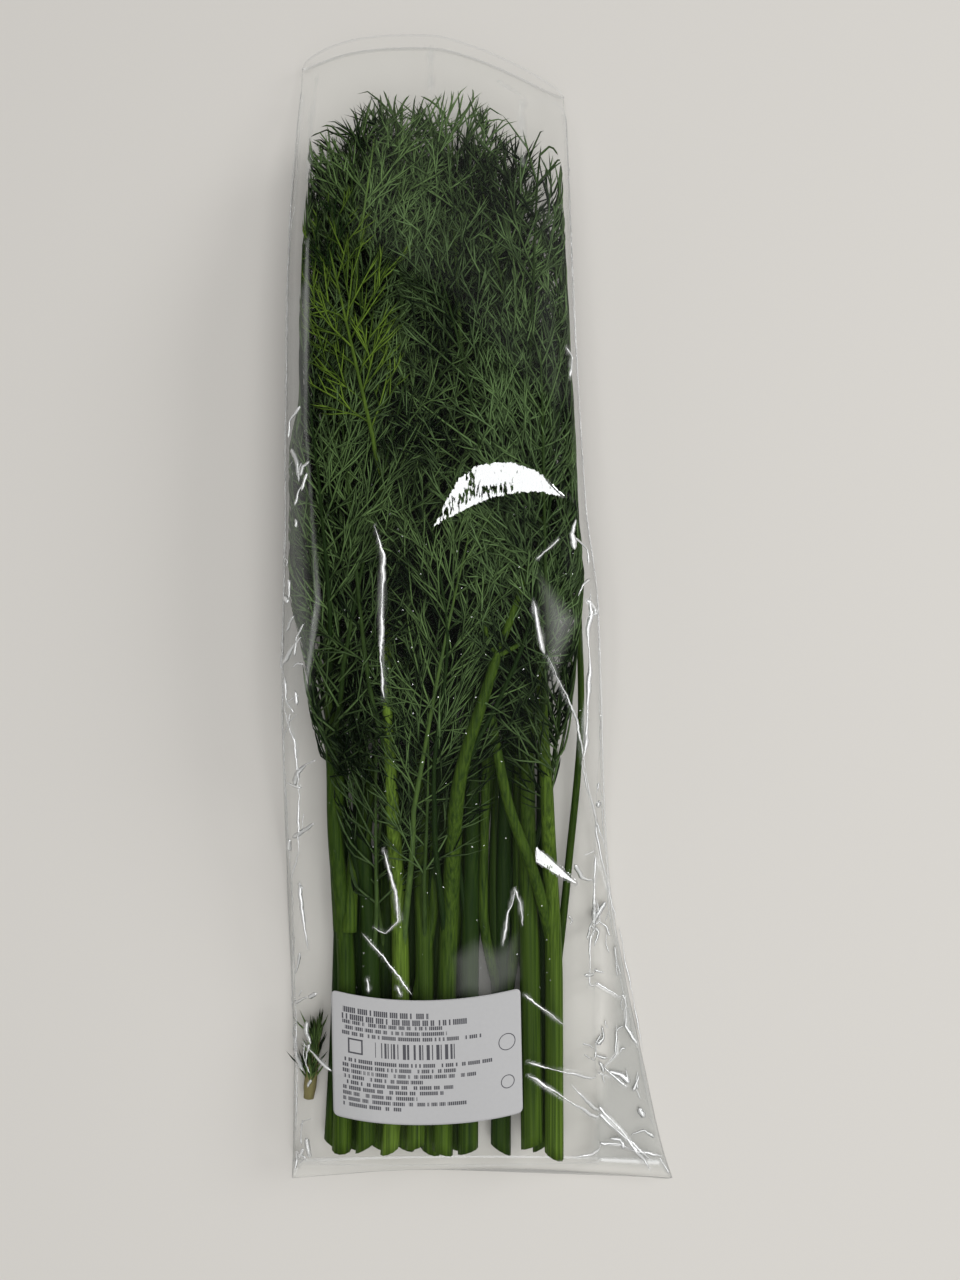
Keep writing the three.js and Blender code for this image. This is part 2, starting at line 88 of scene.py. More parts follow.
# The film's grid: finer steps at the stems, wider ones in the middle and at the mouth, and the
# columns over its left edge, the bunch, the flat flap at the right and the underside.
FINE_FILM_Y = 60
FILM_STEPS = (0.62, 0.86)
UPPER_FILM_RINGS = 96
LEFT_COLUMNS, CROWN_COLUMNS, FLAP_COLUMNS, UNDERSIDE_COLUMNS = 4, 141, 22, 26
UNDERSIDE_Z = 0.25
BOTTOM_BOW = 3.2  # how far the middle of the bottom edge lies above its ends
ROOM = 1.1  # film and gap between the outside of the bag and the dill

# ---------------------------------------------------------------- the stems, in millimetres
STEM_STATIONS = (-168, -117, -57, 0, 60, 130)
STEM_TAPER = (1, 0.93, 0.68, 0.44, 0.34, 0.24)
LOWER_ROW_Z, UPPER_ROW_Z = 4.3, 10.7
CUT_STAGGER = {LOWER_ROW_Z: 2.4, UPPER_ROW_Z: 0.8}  # how far the cut ends pass their solids
STEM_RINGS = 64
FAN_OUT = (-120, -50)  # the rows part into layers between these two places
# Each stem: its layer, its radius and its place across the bag at every station.
STEMS = {
    "stem_low_1": (0, 2.9, (-38.7, -37.5, -38, -38, -37, -35)),
    "stem_low_2": (0, 2.9, (-24, -22.5, -20, -19, -19, -17)),
    "stem_low_3": (0, 3.0, (-7.5, -6.5, -2, 1, 2, 1)),
    "stem_low_4": (0, 2.9, (19.7, 20, 20, 20, 18, 16)),
    "stem_core_1": (1, 2.8, (-46.3, -44, -43, -44, -44, -42)),
    "stem_core_2": (1, 3.0, (-31.4, -30, -28, -28, -29, -27)),
    "stem_core_3": (1, 3.1, (-15.7, -14.3, -11, -9, -8, -8)),
    "stem_core_4": (1, 3.0, (6.5, 7, 8, 11, 11, 9)),
    "stem_mid_1": (2, 3.0, (-35.6, -34, -37, -41, -42, -40)),
    "stem_mid_2": (2, 3.0, (-20.3, -17.2, -19, -22, -23, -22)),
    "stem_mid_3": (2, 3.0, (-3.8, -3.4, -2.5, -4, -4, -3)),
    "stem_mid_4": (2, 3.3, (16.2, 15.6, 14.5, 15, 15, 13)),
    "stem_top_1": (3, 2.9, (-43, -41.5, -45, -46, -45, -43)),
    "stem_top_2": (3, 2.8, (-28.1, -24.6, -26.5, -28, -27, -25)),
    "stem_top_3": (3, 3.1, (-11.8, -10.3, -7, 7, 9, 6)),
    "stem_top_4": (3, 2.8, (23, 23, 20.3, 18, 19, 17)),
}
# Where each layer's fronds leave their stems, how long they are and how far they reach sideways.
FRONDS = {
    0: ((-48, 88, 30), (-8, 88, 30), (34, 86, 28), (66, 74, 26)),
    1: ((-44, 88, 30), (-4, 88, 30), (38, 86, 28), (68, 74, 26)),
    2: ((-50, 88, 32), (-10, 90, 32), (34, 88, 30), (66, 76, 27)),
    3: ((-56, 86, 32), (-18, 88, 33), (22, 90, 33), (62, 84, 29)),
}
# For each frond of a stem in turn: how long its stalk is, how far it leans and how thick it is.
FROND_STALKS = ((58, 6.5, 4.2), (34, 5.5, 3.0), (20, 4.5, 2.2), (20, 4.5, 2.2))
OWN_FROND_TONE, OWN_FROND_THICK = 0.42, 2.8
# How a frond branches, in degrees: its side ribs at its foot and how much less at its tip, its
# twigs away from and towards the tip, and the threads that fork off a twig.
SIDE_RIB_ANGLE, LESS_AT_TIP = 46, 20
TWIG_ANGLES = (20, 27)
FORK_ANGLE = 21
FORKS = ((0.22, 1), (0.42, -1), (0.62, 1))  # place along the twig, and to which side
TONE_LIMITS = (-0.4, 1)


class Vary:
    """How far the random draws of a frond go to either side: degrees, millimetres, shares."""
    tone, sway = 0.34, 0.0016
    pair_place, side_length, side_angle, side_bend = 0.3, 0.26, 13, 9
    side_lift, side_slope = 0.9, 0.045
    twig_place, twig_angle, twig_length, twig_bend, twig_slope = 0.25, 14, 0.14, 9, 0.1
    thread_angle, thread_length, thread_slope = 13, 0.16, 0.13


class Frond:
    """How a frond is built. Its parts' thicknesses, at foot and tip, are in thread radii."""
    rib_steps, rib_tip, fewest_pairs, first_pair = 26, 0.8, 6, 0.4
    pair_range, twig_range = (0.01, 0.985), (0.04, 0.99)
    # A side rib's length: a power of what is left to the tip, times a line, and its least.
    side_power, side_line, side_least = 0.62, (0.62, 1.15), 5
    side_steps, side_thick, side_bend = 6, (1.25, 0.7), 11
    # A twig's share of the thread length: at its side rib's tip, and how much more at its foot.
    twig_line, first_twig = (0.62, 0.55), 0.6
    twig_steps, twig_thick, twig_curl = 4, (1.0, 0.42), 0.22
    thread_steps, thread_thick, thread_curl, thread_share = 3, (0.92, 0.35), 0.25, 0.86
    # How much lighter a thread is for each millimetre it lies higher in its frond: painted shade
    # on the deeper threads.
    lift_shade = 0.12
    # What the skin's colours tell apart, from a thread over twig and side rib to the rib.
    thread_kind, twig_kind, side_kind, rib_kind = 0.0, 0.2, 0.45, 1.3


class CutEnd:
    """A stem's slanting, hollow cut end, and how pale the stem is above it."""
    slant, tilt, reach = (-0.7, 0.7), (-0.25, 0.25), 6
    rim_share, depth, floor_depth = (0.45, 0.55), 0.9, 0.5
    pale, pale_from, pale_to = 0.55, 6, 24


# A stem's tone, with painted shade on the lower layers: how much lighter each layer is, how dark
# the lowest is, and the draw.
STEM_TONES_AND_SHADE = (0.2, 0.1, (-0.26, 0.22))
# Draws for each frond on a stem: start, turn in degrees, level, tone and how young.
FROND_STARTS, FROND_TURNS, FROND_LEVELS = (-5, 5), (3, 13), (-0.3, 0.35)
FROND_TONES, FROND_YOUTH = (-0.16, 0.16), (0, 0.25)
STEM_PAST_FROND = 10
# Waves of painted light and shade over the bunch: how much, and two sines of x, of y and from a
# start.
LIGHT_WAVES = ((0.26, (0.11, 0.05, 1.3), (-0.04, 0.083, 0.4)),
               (0.2, (0.34, 0.06, 2), (-0.09, 0.21, 1)))
# Painted light and shade: how much lighter the lower and the upper layers are at the tips, and all
# are darker low down.
TIP_LIGHT, TIP_LIGHT_Y = (0.55, 0.1), (105, 150)
LOW_SHADE, LOW_SHADE_Y = 0.16, (-50, 30)
# How far threads start inside or past the foliage's outline, and how far a few stand out.
RAGGED, STANDS_OUT, FEW = (-4.5, 1.5), 6, 0.05
# How softly fronds crowd at the sides, the tips and the film, and how far they keep inside.
SOFT_SIDES, SOFT_TIPS, SOFT_FILM = 3.0, 5.0, 0.8
PAST_OUTLINE, UNDER_FILM, OVER_FLOOR, LEAST_ROOM = 9, 0.75, 0.8, 0.5
NO_LIMIT_Y = -300
# Where upper stems dip below their own fronds, from one y to another, and how deep.
DIPS = {"stem_top_1": (-80, -50), "stem_top_2": (-28, 6), "stem_top_3": (-17, 2),
        "stem_top_4": (-62, -36), "stem_mid_1": (-80, -50), "stem_mid_4": (-60, -30)}
DIP_LEVELS = 1.2
NO_DIP = (500, 600)
# The stem that lies closest under the film, and how much higher it lies than its layer.
RISE = ("stem_top_3", 0.3)
# Stems of a lighter green, and how much lighter.
FRESH_STEMS = {"stem_top_2": 0.45, "stem_mid_4": 0.2, "stem_top_4": 0.25, "stem_mid_2": 0.1}
# How light the fronds of each layer are: little light reaches the lower ones.
LAYER_TONES = (-0.38, -0.34, -0.2, 0.42)
# The outline of the foliage at its top, as places (x, y).
TOP_OUTLINE = [(-62, 128), (-54, 135), (-44, 143.5), (-32, 153), (-15, 151), (-7.5, 154), (0, 154),
               (6, 144), (19.5, 138), (26, 126), (34, 118)]
# How wide a strip beside the bag's left and right edge holds no foliage: y, left, right.
BARE_STRIPS = [(-75, 20, 20), (-55, 15, 14), (-40, 11, 11), (-12, 7, 7.5), (2, 3.2, 5.5),
               (12, 2, 4), (48, 2, 2.4), (62, 5.5, 2.2), (110, 5.5, 2.2), (140, 4.6, 2.2),
               (170, 4, 2.2)]
# Fronds seen singly: start, length, reach, turn in degrees, lean, level, stalk and how young.
OWN_FRONDS = {
    "stem_top_2": [(50, 60, 23, -14, -4, 3.92, 26, 1.0)],
    "stem_mid_3": [(82, 74, 25, -4, -2, 3.3, 20, 0.1)],
    "stem_core_3": [(76, 76, 25, 2, -1, 2.6, 20, 0.1)],
    "stem_mid_1": [(-92, 62, 22, 3, 3, 3.1, 26, 0.05)],
    "stem_core_2": [(-88, 66, 24, -3, -3, 2.6, 26, 0.1), (78, 80, 26, 4, 0, 2.9, 20, 0.1)],
    "stem_low_1": [(-86, 62, 24, 6, 5, 2.2, 26, 0.05)],
    "stem_mid_2": [(-82, 54, 24, 6, 1, 3.7, 30, 0.1), (80, 76, 25, -2, 0, 3.3, 20, 0.1)],
    "stem_top_1": [(-2, 84, 30, -4, 2, 3.85, 30, 0.15), (-52, 70, 28, 2, 3, 3.6, 30, 0.1)],
    "stem_top_4": [(-50, 78, 28, 3, 3, 3.8, 30, 0.1), (-6, 84, 28, -3, 2, 3.85, 30, 0.1)],
}
# Single stalks beside the stems: points (x, y) from the low end, their two levels and two radii.
STALKS = {
    "stem_low_1": [([(-43.6, -99), (-44.5, -75), (-43, -50)], (2.6, 2.6), (2.0, 1.7))],
    "stem_low_3": [([(-4, -128), (-1, -90), (4, -38)], (1.2, 1.2), (2.1, 1.7)),
                   ([(-12, -126), (-6, -84), (-6, -40)], (1.6, 1.6), (1.9, 1.5))],
    "stem_low_4": [([(21, -140), (27.5, -84), (31.5, -30), (30.0, 14)], (1.1, 1.1), (1.4, 0.9)),
                   ([(18, -128), (10, -85), (9, -40)], (0.9, 0.9), (2.1, 1.7))],
    "stem_core_2": [([(-34, -124), (-36, -90), (-33, -45)], (2.2, 2.2), (1.8, 1.5)),
                    ([(-30, -124), (-24, -90), (-25, -45)], (1.4, 1.4), (1.9, 1.6))],
    "stem_core_4": [([(7, -126), (1, -92), (2, -40)], (2.1, 2.1), (1.7, 1.4)),
                    ([(8, -126), (12, -92), (12, -40)], (1.6, 1.6), (1.9, 1.6))],
    "stem_top_4": [([(22.6, -104), (17, -82), (8.2, -57), (3, -30)], (3.55, 3.55), (1.9, 1.4))],
    "stem_mid_2": [([(-20, -122), (-14, -85), (-14, -45)], (2.4, 2.4), (1.7, 1.4))],
    "stem_top_3": [([(4.6, -14), (9.6, -1), (14.6, 14)], (3.9, 3.6), (1.3, 0.8)),
                   ([(4.6, -14), (1.6, -5), (1.8, 10)], (3.9, 3.3), (0.8, 0.5)),
                   ([(4.6, -14), (12.4, -9.5), (19, -3)], (3.9, 3.3), (0.8, 0.5))],
    "stem_core_1": [([(-40.6, -99), (-40, -88), (-38, -66)], (3.0, 1.6), (2.5, 1.9)),
                    ([(-36, -128), (-30, -92), (-30, -46)], (1.0, 1.0), (2.2, 1.8))],
    "stem_core_3": [([(6, -128), (4.5, -92), (6, -44)], (0.8, 0.8), (2.2, 1.8))],
    "stem_low_2": [([(-24, -128), (-19, -92), (-19, -46)], (0.7, 0.7), (2.2, 1.8))],
}

# ---------------------------------------------------------------- creases of the film
# Each crease is a line across the upper film: points (x, y), height and half width.
CREASES = [
    ([(-30.5, 24.5), (-28.2, 14.4), (-28.8, -3.1), (-27.9, -26.3)], 1.0, 2.4),
    ([(-28.9, -71.5), (-26.2, -83.4), (-24.4, -93.8), (-28.3, -97.7), (-32.8, -95.9)], 0.8, 1.8),
    ([(-36.1, -97.7), (-20.5, -117.3)], 0.5, 0.9),
    ([(-34.6, -112.0), (-33.9, -117.0)], 0.4, 1.6),
    ([(-25.5, -114.2), (-24.0, -117.6)], 0.4, 2.0),
    ([(15.4, 2.7), (18.9, -13.3)], 0.7, 2.4),
    ([(16.4, 14.5), (23.4, 20.9)], 0.4, 0.8),
    ([(19.7, -13.5), (27.3, -30.1), (33.4, -57.5), (36.4, -66.6), (40.1, -75.7)], 0.8, 1.3),
    ([(33.2, 6.9), (32.6, -2.2), (31.1, -6.2), (31.9, -18.0), (31.0, -45.5)], 1.0, 2.6),
    ([(31.4, 3.0), (35.4, -0.4), (31.6, -2.4)], 0.6, 2.4),
    ([(25.5, 77.9), (27.3, 75.2), (26.7, 68.8)], 0.5, 2.2),
    ([(30.5, -45.3), (34.0, -62.0), (38.2, -79.2), (43.2, -98.3)], 0.6, 1.2),
    ([(36.7, -77.0), (36.2, -85.4), (36.3, -99.1)], 0.8, 3.4),
    ([(31.9, -74.8), (36.0, -74.5)], 0.4, 1.2),
    ([(10.5, -83.8), (12.3, -88.3), (12.9, -95.8)], 0.7, 1.8),
    ([(10.5, -83.8), (8.1, -92.8), (6.9, -101.8)], 0.7, 1.4),
    ([(13.4, -116.9), (26.2, -127.6)], 0.7, 1.6),
    ([(14.6, -138.1), (29.4, -142.8), (41.8, -148.4)], 0.8, 1.4),
    ([(14.7, -142.0), (37.6, -159.2), (54.8, -174.8)], 1.1, 2.0),
    ([(27.9, -145.9), (36.3, -155.2), (51.3, -173.4), (54.5, -178.0)], 0.9, 1.9),
    ([(28.5, -168.6), (44.3, -169.3), (58.5, -173.4)], 1.0, 1.8),
    ([(57.0, -173.4), (60.4, -179.0)], 0.6, 2.2),
    ([(37.0, -91.0), (38.1, -98.1), (34.3, -101.0), (33.6, -116.2), (43.6, -122.5),
      (46.9, -122.0)], 0.8, 1.4),
    ([(46.2, -122.0), (46.6, -131.6), (50.2, -138.0)], 0.7, 2.0),
    ([(43.7, -131.6), (43.7, -140.8), (39.5, -145.0), (47.2, -151.7)], 0.7, 1.2),
    ([(44.6, -100.0), (49.2, -124.6), (52.0, -140.2)], 0.6, 1.0),
    ([(-59.5, -27.4), (-55.5, -39.7), (-54.6, -55.1), (-55.5, -73.6), (-58.6, -82.9)], 0.9, 1.5),
    ([(-58.6, -20.0), (-58.2, -27.0), (-55.4, -31.0)], 0.7, 2.4),
    ([(-55.5, -82.9), (-53.0, -104.5)], 0.9, 2.2),
    ([(-59.5, -52.5), (-53.7, -53.4)], 0.6, 1.6),
    ([(-60.6, -6.0), (-60.4, -18.0)], 0.4, 1.4),
    ([(-55.5, -133.5), (-45.3, -141.0)], 0.5, 1.4),
    ([(-59.0, -178.5), (-57.2, -169.8), (-54.4, -170.5), (-58.0, -177.4)], 0.7, 1.5),
    ([(-58.5, -120.0), (-57.6, -146.0), (-58.4, -166.0)], 0.4, 0.7),
    ([(-51.1, 110.2), (-51.4, 56.1), (-47.3, 2.9), (-51.7, -23.7)], -0.7, 2.4),
    ([(-15.4, 176.1), (-14.8, 157.6)], -0.7, 2.6),
    ([(-50.8, 170.0), (-51.6, 128.0)], -0.6, 2.4),
    ([(12.3, 158.3), (12.9, 132.2)], -0.8, 3.0),
    ([(5.2, 168.4), (13.9, 160.7), (12.3, 148.3)], -0.9, 3.0),
]
# Small random creases, drawn only as thin bright strips, painted highlights: beside which edge,
# from one y to another, how many and how far in.
CRINKLES = (("left", -176, 62, 46, 7.5), ("right", -176, 20, 32, 8.0),
            ("right", -174, -84, 24, 17.0))
CRINKLE_INSET, CRINKLE_TURN, CRINKLE_KINK = 0.8, 0.55, 0.5
CRINKLE_SIZES, CRINKLE_WIDTHS, CRINKLE_SHARES = (2.5, 11), (0.8, 3.4), (0.5, 1.0)
CRINKLE_MARGIN, CRINKLE_LOWEST = 0.6, -178
# Folds along the bag's edges, drawn as thin bright strips, painted highlights: beside which edge,
# how far in, and how bright.
EDGE_FOLDS = (("left", 0.35, 0.5), ("left", 2.6, 0.25), ("right", -0.35, 0.5))
EDGE_FOLD_Y, EDGE_FOLD_WIDTH = (-172.0, 170.0, 9.0), 0.5


class FoldStrip:
    """The thin bright strip on a fold, a painted highlight: how it shakes, swells and fades out,
    in millimetres.
    """
    step, shake, above_film, flat = 0.7, 0.09, 0.12, 0.25
    swell, waves, uneven = (0.55, 0.45), (0.12, 0.4), (0.8, 1.2)
    width, fade = (0.07, 0.24), (-0.02, 0.12)


# Patches where the film is drawn tight and smooth, as outlines. Past the given x the film falls
# away at the given slope, less steeply than the bag does.
TIGHT_PATCHES = [
    ([(-14.2, 22.9), (-10.1, 31.7), (-6.4, 38.1), (-1.4, 41.8), (4.3, 43.0), (10.1, 43.0),
      (17.4, 40.4), (21.7, 36.8), (27.4, 31.9), (17.4, 33.9), (10.1, 33.4), (2.9, 31.7),
      (-4.3, 28.5)], 12.0, 0.2),
    ([(16.3, -70.4), (20.1, -72.7), (30.4, -82.2), (30.4, -84.9), (23.6, -81.3),
      (16.3, -76.3)], 15.0, 0.12),
]

# Along this line leaf threads press through the first patch.
FRAYED = [(-10.5, 27.0), (-6.0, 31.5), (-1.0, 34.0), (-3.0, 38.5), (-1.0, 34.0), (8.0, 35.5)]
# Where the film gets a grey veil, and how much: cloudy film, and over the flap painted shade.
HAZE_AND_SHADE_PATCHES = [
    ([(-40, 110), (-32, 152), (0, 153), (33, 118), (37, 52), (14, 64), (-12, 92)], 0.05),
    ([(-9, -105), (-2, -99), (5, -102), (12, -97), (13, -112), (4, -119), (-8, -117)], 0.5),
    ([(39, -70), (46, -96), (53, -125), (58, -160), (60, -178), (30, -178), (40, -140),
      (41, -110)], 1.4),
    ([(16.7, 11.6), (29.3, -3.0), (20.5, -24.8)], 1.0),
    ([(-61, 100), (-50, 96), (-50, 20), (-48, -10), (-53, -44), (-61, -46)], 0.75),
]


class Crumple:
    """How the film's swells and creases vary, in millimetres, radians or shares."""
    swells, swell_lengths, swell_height = 26, (28, 80), 0.0026
    end_fade, sharpness, phases, paces = 6, 1.5, (0, 6.3), (3, 7)
    # The bright line on a crease, whitened film and painted highlight: its width by the swell and
    # towards the ends, and its share.
    width, wider, narrow, widen = 0.25, (0.55, 0.9), 0.4, 0.6
    line, line_mark = (0.55, 0.45), 0.3
    patch_edge, haze_edge = (-0.6, 0.6), (-1.0, 5.0)
    frayed, frayed_reach = 0.2, (0.8, 2.6)
    edge_fade, lowest_top = (0.2, 3.5), 0.9


# Where dew clouds the film: how much, from where it begins, and over where it ends.
DEW, DEW_BEGINS, DEW_ENDS = 0.8, (-125, -95), (-40, 60)
# How bright the mouth's rim, the seal and the side folds are, as painted highlights, and over what
# they fade.
RIM_MARK, RIM_Y = 0.4, (179.3, 180.4)
SEAL_MARK, SEAL_HALF = 0.45, 0.8
SIDE_MARK, SIDE_FADE, SIDE_UP_TO = 0.3, (0.1, 0.7), 170
CROWN_MIX = (0.65, 0.35)  # even columns, and columns that crowd at the sides
BOW_HALF, BOW_UP_TO = 60, -171
# The marks of the film that its material reads.
FILM_MARKS = ("tight", "crease", "haze_and_shade", "dewy")

# ---------------------------------------------------------------- label, loose piece and stage
LABEL = {"x": -16.3, "y": -134.6, "width": 58.0, "height": 38.2, "turn": 1.2, "corner": 1.6,
         "bow": 3.0}
LABEL_GRID = (88, 60)
LABEL_ABOVE_FILM = (0.3, 0.6)  # the label's underside and upper side
# Rows of dashes on the label: from its top edge, height, and from where to where across.
LABEL_ROWS = [(4.0, 1.5, 3.6, 30.0), (6.1, 1.5, 3.2, 42.0), (8.0, 1.0, 3.2, 34.0),
              (9.7, 1.0, 3.2, 35.5), (11.4, 1.0, 3.2, 46.0), (19.4, 1.0, 3.2, 49.0),
              (21.1, 1.0, 3.2, 38.0), (22.8, 1.0, 3.2, 44.0), (24.5, 1.0, 3.2, 28.0),
              (26.2, 1.0, 3.2, 37.0), (27.9, 1.0, 3.2, 34.0), (29.6, 1.0, 3.2, 26.0),
              (31.3, 1.0, 3.2, 41.0), (33.0, 1.0, 3.2, 21.0)]
DASH, DASH_GAP, ROW_GROWTH = 0.62, 0.22, 1.15
NO_DASH, ROW_SHIFT = 0.2, 7.3  # the share of dashes left out, and what sets the rows apart
# The block of bars, the square and its hole as boxes, left, right, top and bottom, and circles
# as height and radius.
BAR_BLOCK, BAR, BAR_SHARE, BAR_SHIFT = (13.4, 38.2, 13.6, 18.2), 0.33, 0.48, 91.0
SQUARE, SQUARE_HOLE = (5.0, 9.6, 13.4, 18.0), (5.5, 9.1, 13.9, 17.5)
CIRCLES_X, CIRCLES, CIRCLE_LINE = 53.6, ((15.4, 2.6), (27.6, 2.1)), 0.28
FIBRE_SCALE, FIBRE_SHADE, INK_STRENGTH = 900, 0.94, 0.95
# The loose piece: its cut end, its other end and its radius.
LOOSE_PIECE = ((-54.3, -154.0, 3.4), (-51.6, -131.0, 3.0), 2.2)
LOOSE_THREADS = 150


class Loose:
    """How the loose piece and its threads are built, in millimetres or shares."""
    seed, steps, sides, kind, thread_kind = 100, 14, 12, 2.6, 0.1
    thinner_at_end, foot, swell, swell_over = 0.35, 0.75, 0.25, 0.2
    threads_from, turn, sizes, curl = (3, 12), 0.42, (5, 11), 0.5
    rise, climb, heights = (0, 1.3), 0.6, (1.2, 8)
    thread_radii, thread_tones, thread_young = (0.4, 0.36, 0.28, 0.1), (0, 0.9), 0.4
    cut_colour = (0.33, 0.27, 0.13)


LEAF_SPECULAR = 0.05
# Dill's skin: streaks along a stem, how much the mottling darkens, how light stems get, how
# rough it is, and its relief's strength and depth.
STREAK_SCALE, MOTTLE_SHARE, STEM_SHADES = (1500, 18, 1500), 0.9, (0.16, 1.1)
SKIN_ROUGH, SKIN_BUMP = (0.38, 0.62), (0.25, 0.0002)


class FilmLook:
    """The film's fine patterns, as scales a metre, limits and colours."""
    ripple_scale, ripple_depth, tight_ripple, tight_rough = 420, 0.0003, 0.02, 0.04
    pressed_scale, speck_limits = (1400, 420, 400), (1.28, 1.36)
    drop_scale, drop_size, drop_limit = 470, 0.1, 0.7
    facing_power = 5
    mirror, clear = (0.96, 0.97, 0.98, 1), (0.99, 0.992, 0.99, 1)
    # The white veil on creases is a painted highlight together with the whitening of creased film;
    # the grey veil darkens the flap as painted shade.
    veil, creased_veil = (0.5, 0.51, 0.49, 1), (0.9, 0.91, 0.9, 1)


# Soft lights, in metres: place, what they face, width, depth and power.
LIGHTS = {
    "panel_over": ((0.35, -0.4, 1.5), (0.35, -0.4, 0.0), 1.2, 2.2, 17.5),
    "panel_left": ((-0.5, -0.4, 1.5), (-0.5, -0.4, 0.0), 0.2, 1.8, 2.0),
    "panel_right": ((1.8, 0.8, 1.0), (0.0, 0.0, 0.0), 0.8, 0.8, 17.0),
}
CAMERA_Y = -0.0089
FLOOR_HALF = 1500


def smoothstep(value, low, high):
    """From 0 to 1 between two limits, level at both ends."""
    share = np.clip((np.asarray(value, float) - low) / (high - low), 0.0, 1.0)
    return share * share * (3.0 - 2.0 * share)


def curve_through(places, values):
    """A smooth curve through values at rising places, which never swings past them."""
    places = np.asarray(places, float)
    values = np.asarray(values, float)
    steps = np.diff(places)
    slopes = np.diff(values) / steps
    inner = np.zeros(len(slopes) - 1)
    same_way = slopes[:-1] * slopes[1:] > 0
    inner[same_way] = 2 / (1 / slopes[:-1][same_way] + 1 / slopes[1:][same_way])
    tangents = np.concatenate(([slopes[0]], inner, [slopes[-1]]))

    def curve(place):
        place = np.asarray(place, float)
        i = np.clip(np.searchsorted(places, place, side="left") - 1, 0, len(steps) - 1)
        t = np.clip((place - places[i]) / steps[i], 0, 1)
        rise = (values[i + 1] - values[i]) * t * t * (3 - 2 * t)
        bend = steps[i] * t * (1 - t) * (tangents[i] * (1 - t) - tangents[i + 1] * t)
        return values[i] + rise + bend

    return curve


class Bag:
    """The bag's smooth form: where its upper and lower film lie over any point."""

    keys = ("left", "right", "bulge_left", "bulge_right", "height", "full")
    curves = {key: curve_through(BAG_STATIONS[:, 0], BAG_STATIONS[:, i + 1])
              for i, key in enumerate(keys)}

    @classmethod
    def section(cls, y, inset=0.0):
        """The bag's edges, its bulge, height, fullness and widest line's height at some y."""
        left, right = cls.curves["left"](y), cls.curves["right"](y)
        full = cls.curves["full"](y)
        height = cls.curves["height"](y) - inset
        bulge_left = np.maximum(cls.curves["bulge_left"](y), left + EDGE_STEP) + inset
        bulge_right = np.minimum(cls.curves["bulge_right"](y), right - EDGE_STEP) - inset
        edge_z = FLAT_BAG / 2 + (WIDEST_SHARE * height - FLAT_BAG / 2) * full
        return left, right, bulge_left, bulge_right, height, full, edge_z

    @classmethod
    def ceiling(cls, x, y, inset=0.0):
        """The height of the upper film, or of a form that lies inside it by an inset."""
        _, _, low, high, height, _, edge_z = cls.section(y, inset)
        shoulder = edge_z if inset > 0 else np.maximum(edge_z, FLAT_BAG)
        share = np.clip(np.abs(x - (low + high) / 2) / ((high - low) / 2), 0, 1)
        arch = (1 - share ** CROWN) ** (1 / CROWN)
        return shoulder + np.maximum(0, height - shoulder) * arch

    @classmethod
    def floor(cls, x, y, inset=0.0):
        """The height of the lower film, flat where it lies on the surface."""
        left, right, low, high, _, full, edge_z = cls.section(y, inset)
        if inset > 0:
            left, right = low, high
        rounding = 1 + (UNDERSIDE_ROUND - 1) * full
        share = np.clip(1 - np.minimum(x - left, right - x) / rounding, 0, 1)
        return inset + np.maximum(0, edge_z - inset) * (1 - np.sqrt(1 - share * share))

    @classmethod
    def level(cls, x, y, layers_up):
        """The height of a level inside the bag, counted in layers from the underside."""
        low = cls.floor(x, y, ROOM)
        return low + (cls.ceiling(x, y, ROOM) - low) * layers_up / LAYERS


def mouth_dip(x):
    """How far the mouth's edge and the foliage dip on both sides of the highest point."""
    from_peak = x - MOUTH_PEAK_X
    left, right = (depth * np.clip(sign * from_peak / reach, 0, 1) ** power
                   for sign, (reach, depth, power) in ((-1, MOUTH_LEFT), (1, MOUTH_RIGHT)))
    return np.where(from_peak < 0, left, right)


def distance_to_line(x, y, points):
    """How far each place is from a line of several points, and how far along it, from 0 to 1."""
    points = np.asarray(points, float)
    lengths = np.hypot(*np.diff(points, axis=0).T)
    nearest = np.full(np.shape(x), 1e9)
    along = np.zeros(np.shape(x))
    start = 0.0
    for (x0, y0), (x1, y1), length in zip(points[:-1], points[1:], lengths):
        t = np.clip(((x - x0) * (x1 - x0) + (y - y0) * (y1 - y0)) / length ** 2, 0, 1)
        d = np.hypot(x - x0 - t * (x1 - x0), y - y0 - t * (y1 - y0))
        along = np.where(d < nearest, (start + t * length) / lengths.sum(), along)
        nearest = np.minimum(nearest, d)
        start += length
    return nearest, along


def distance_inside(x, y, outline):
    """How far inside an outline each place is, in millimetres, and less than 0 outside it."""
    closed = list(outline) + [outline[0]]
    d, _ = distance_to_line(x, y, closed)
    inside = np.zeros(np.shape(x), bool)
    for (x0, y0), (x1, y1) in zip(closed[:-1], closed[1:]):
        crosses = (y0 > y) != (y1 > y)
        if y0 != y1:
            inside ^= crosses & (x < (x1 - x0) * (y - y0) / (y1 - y0) + x0)
    return np.where(inside, d, -d)


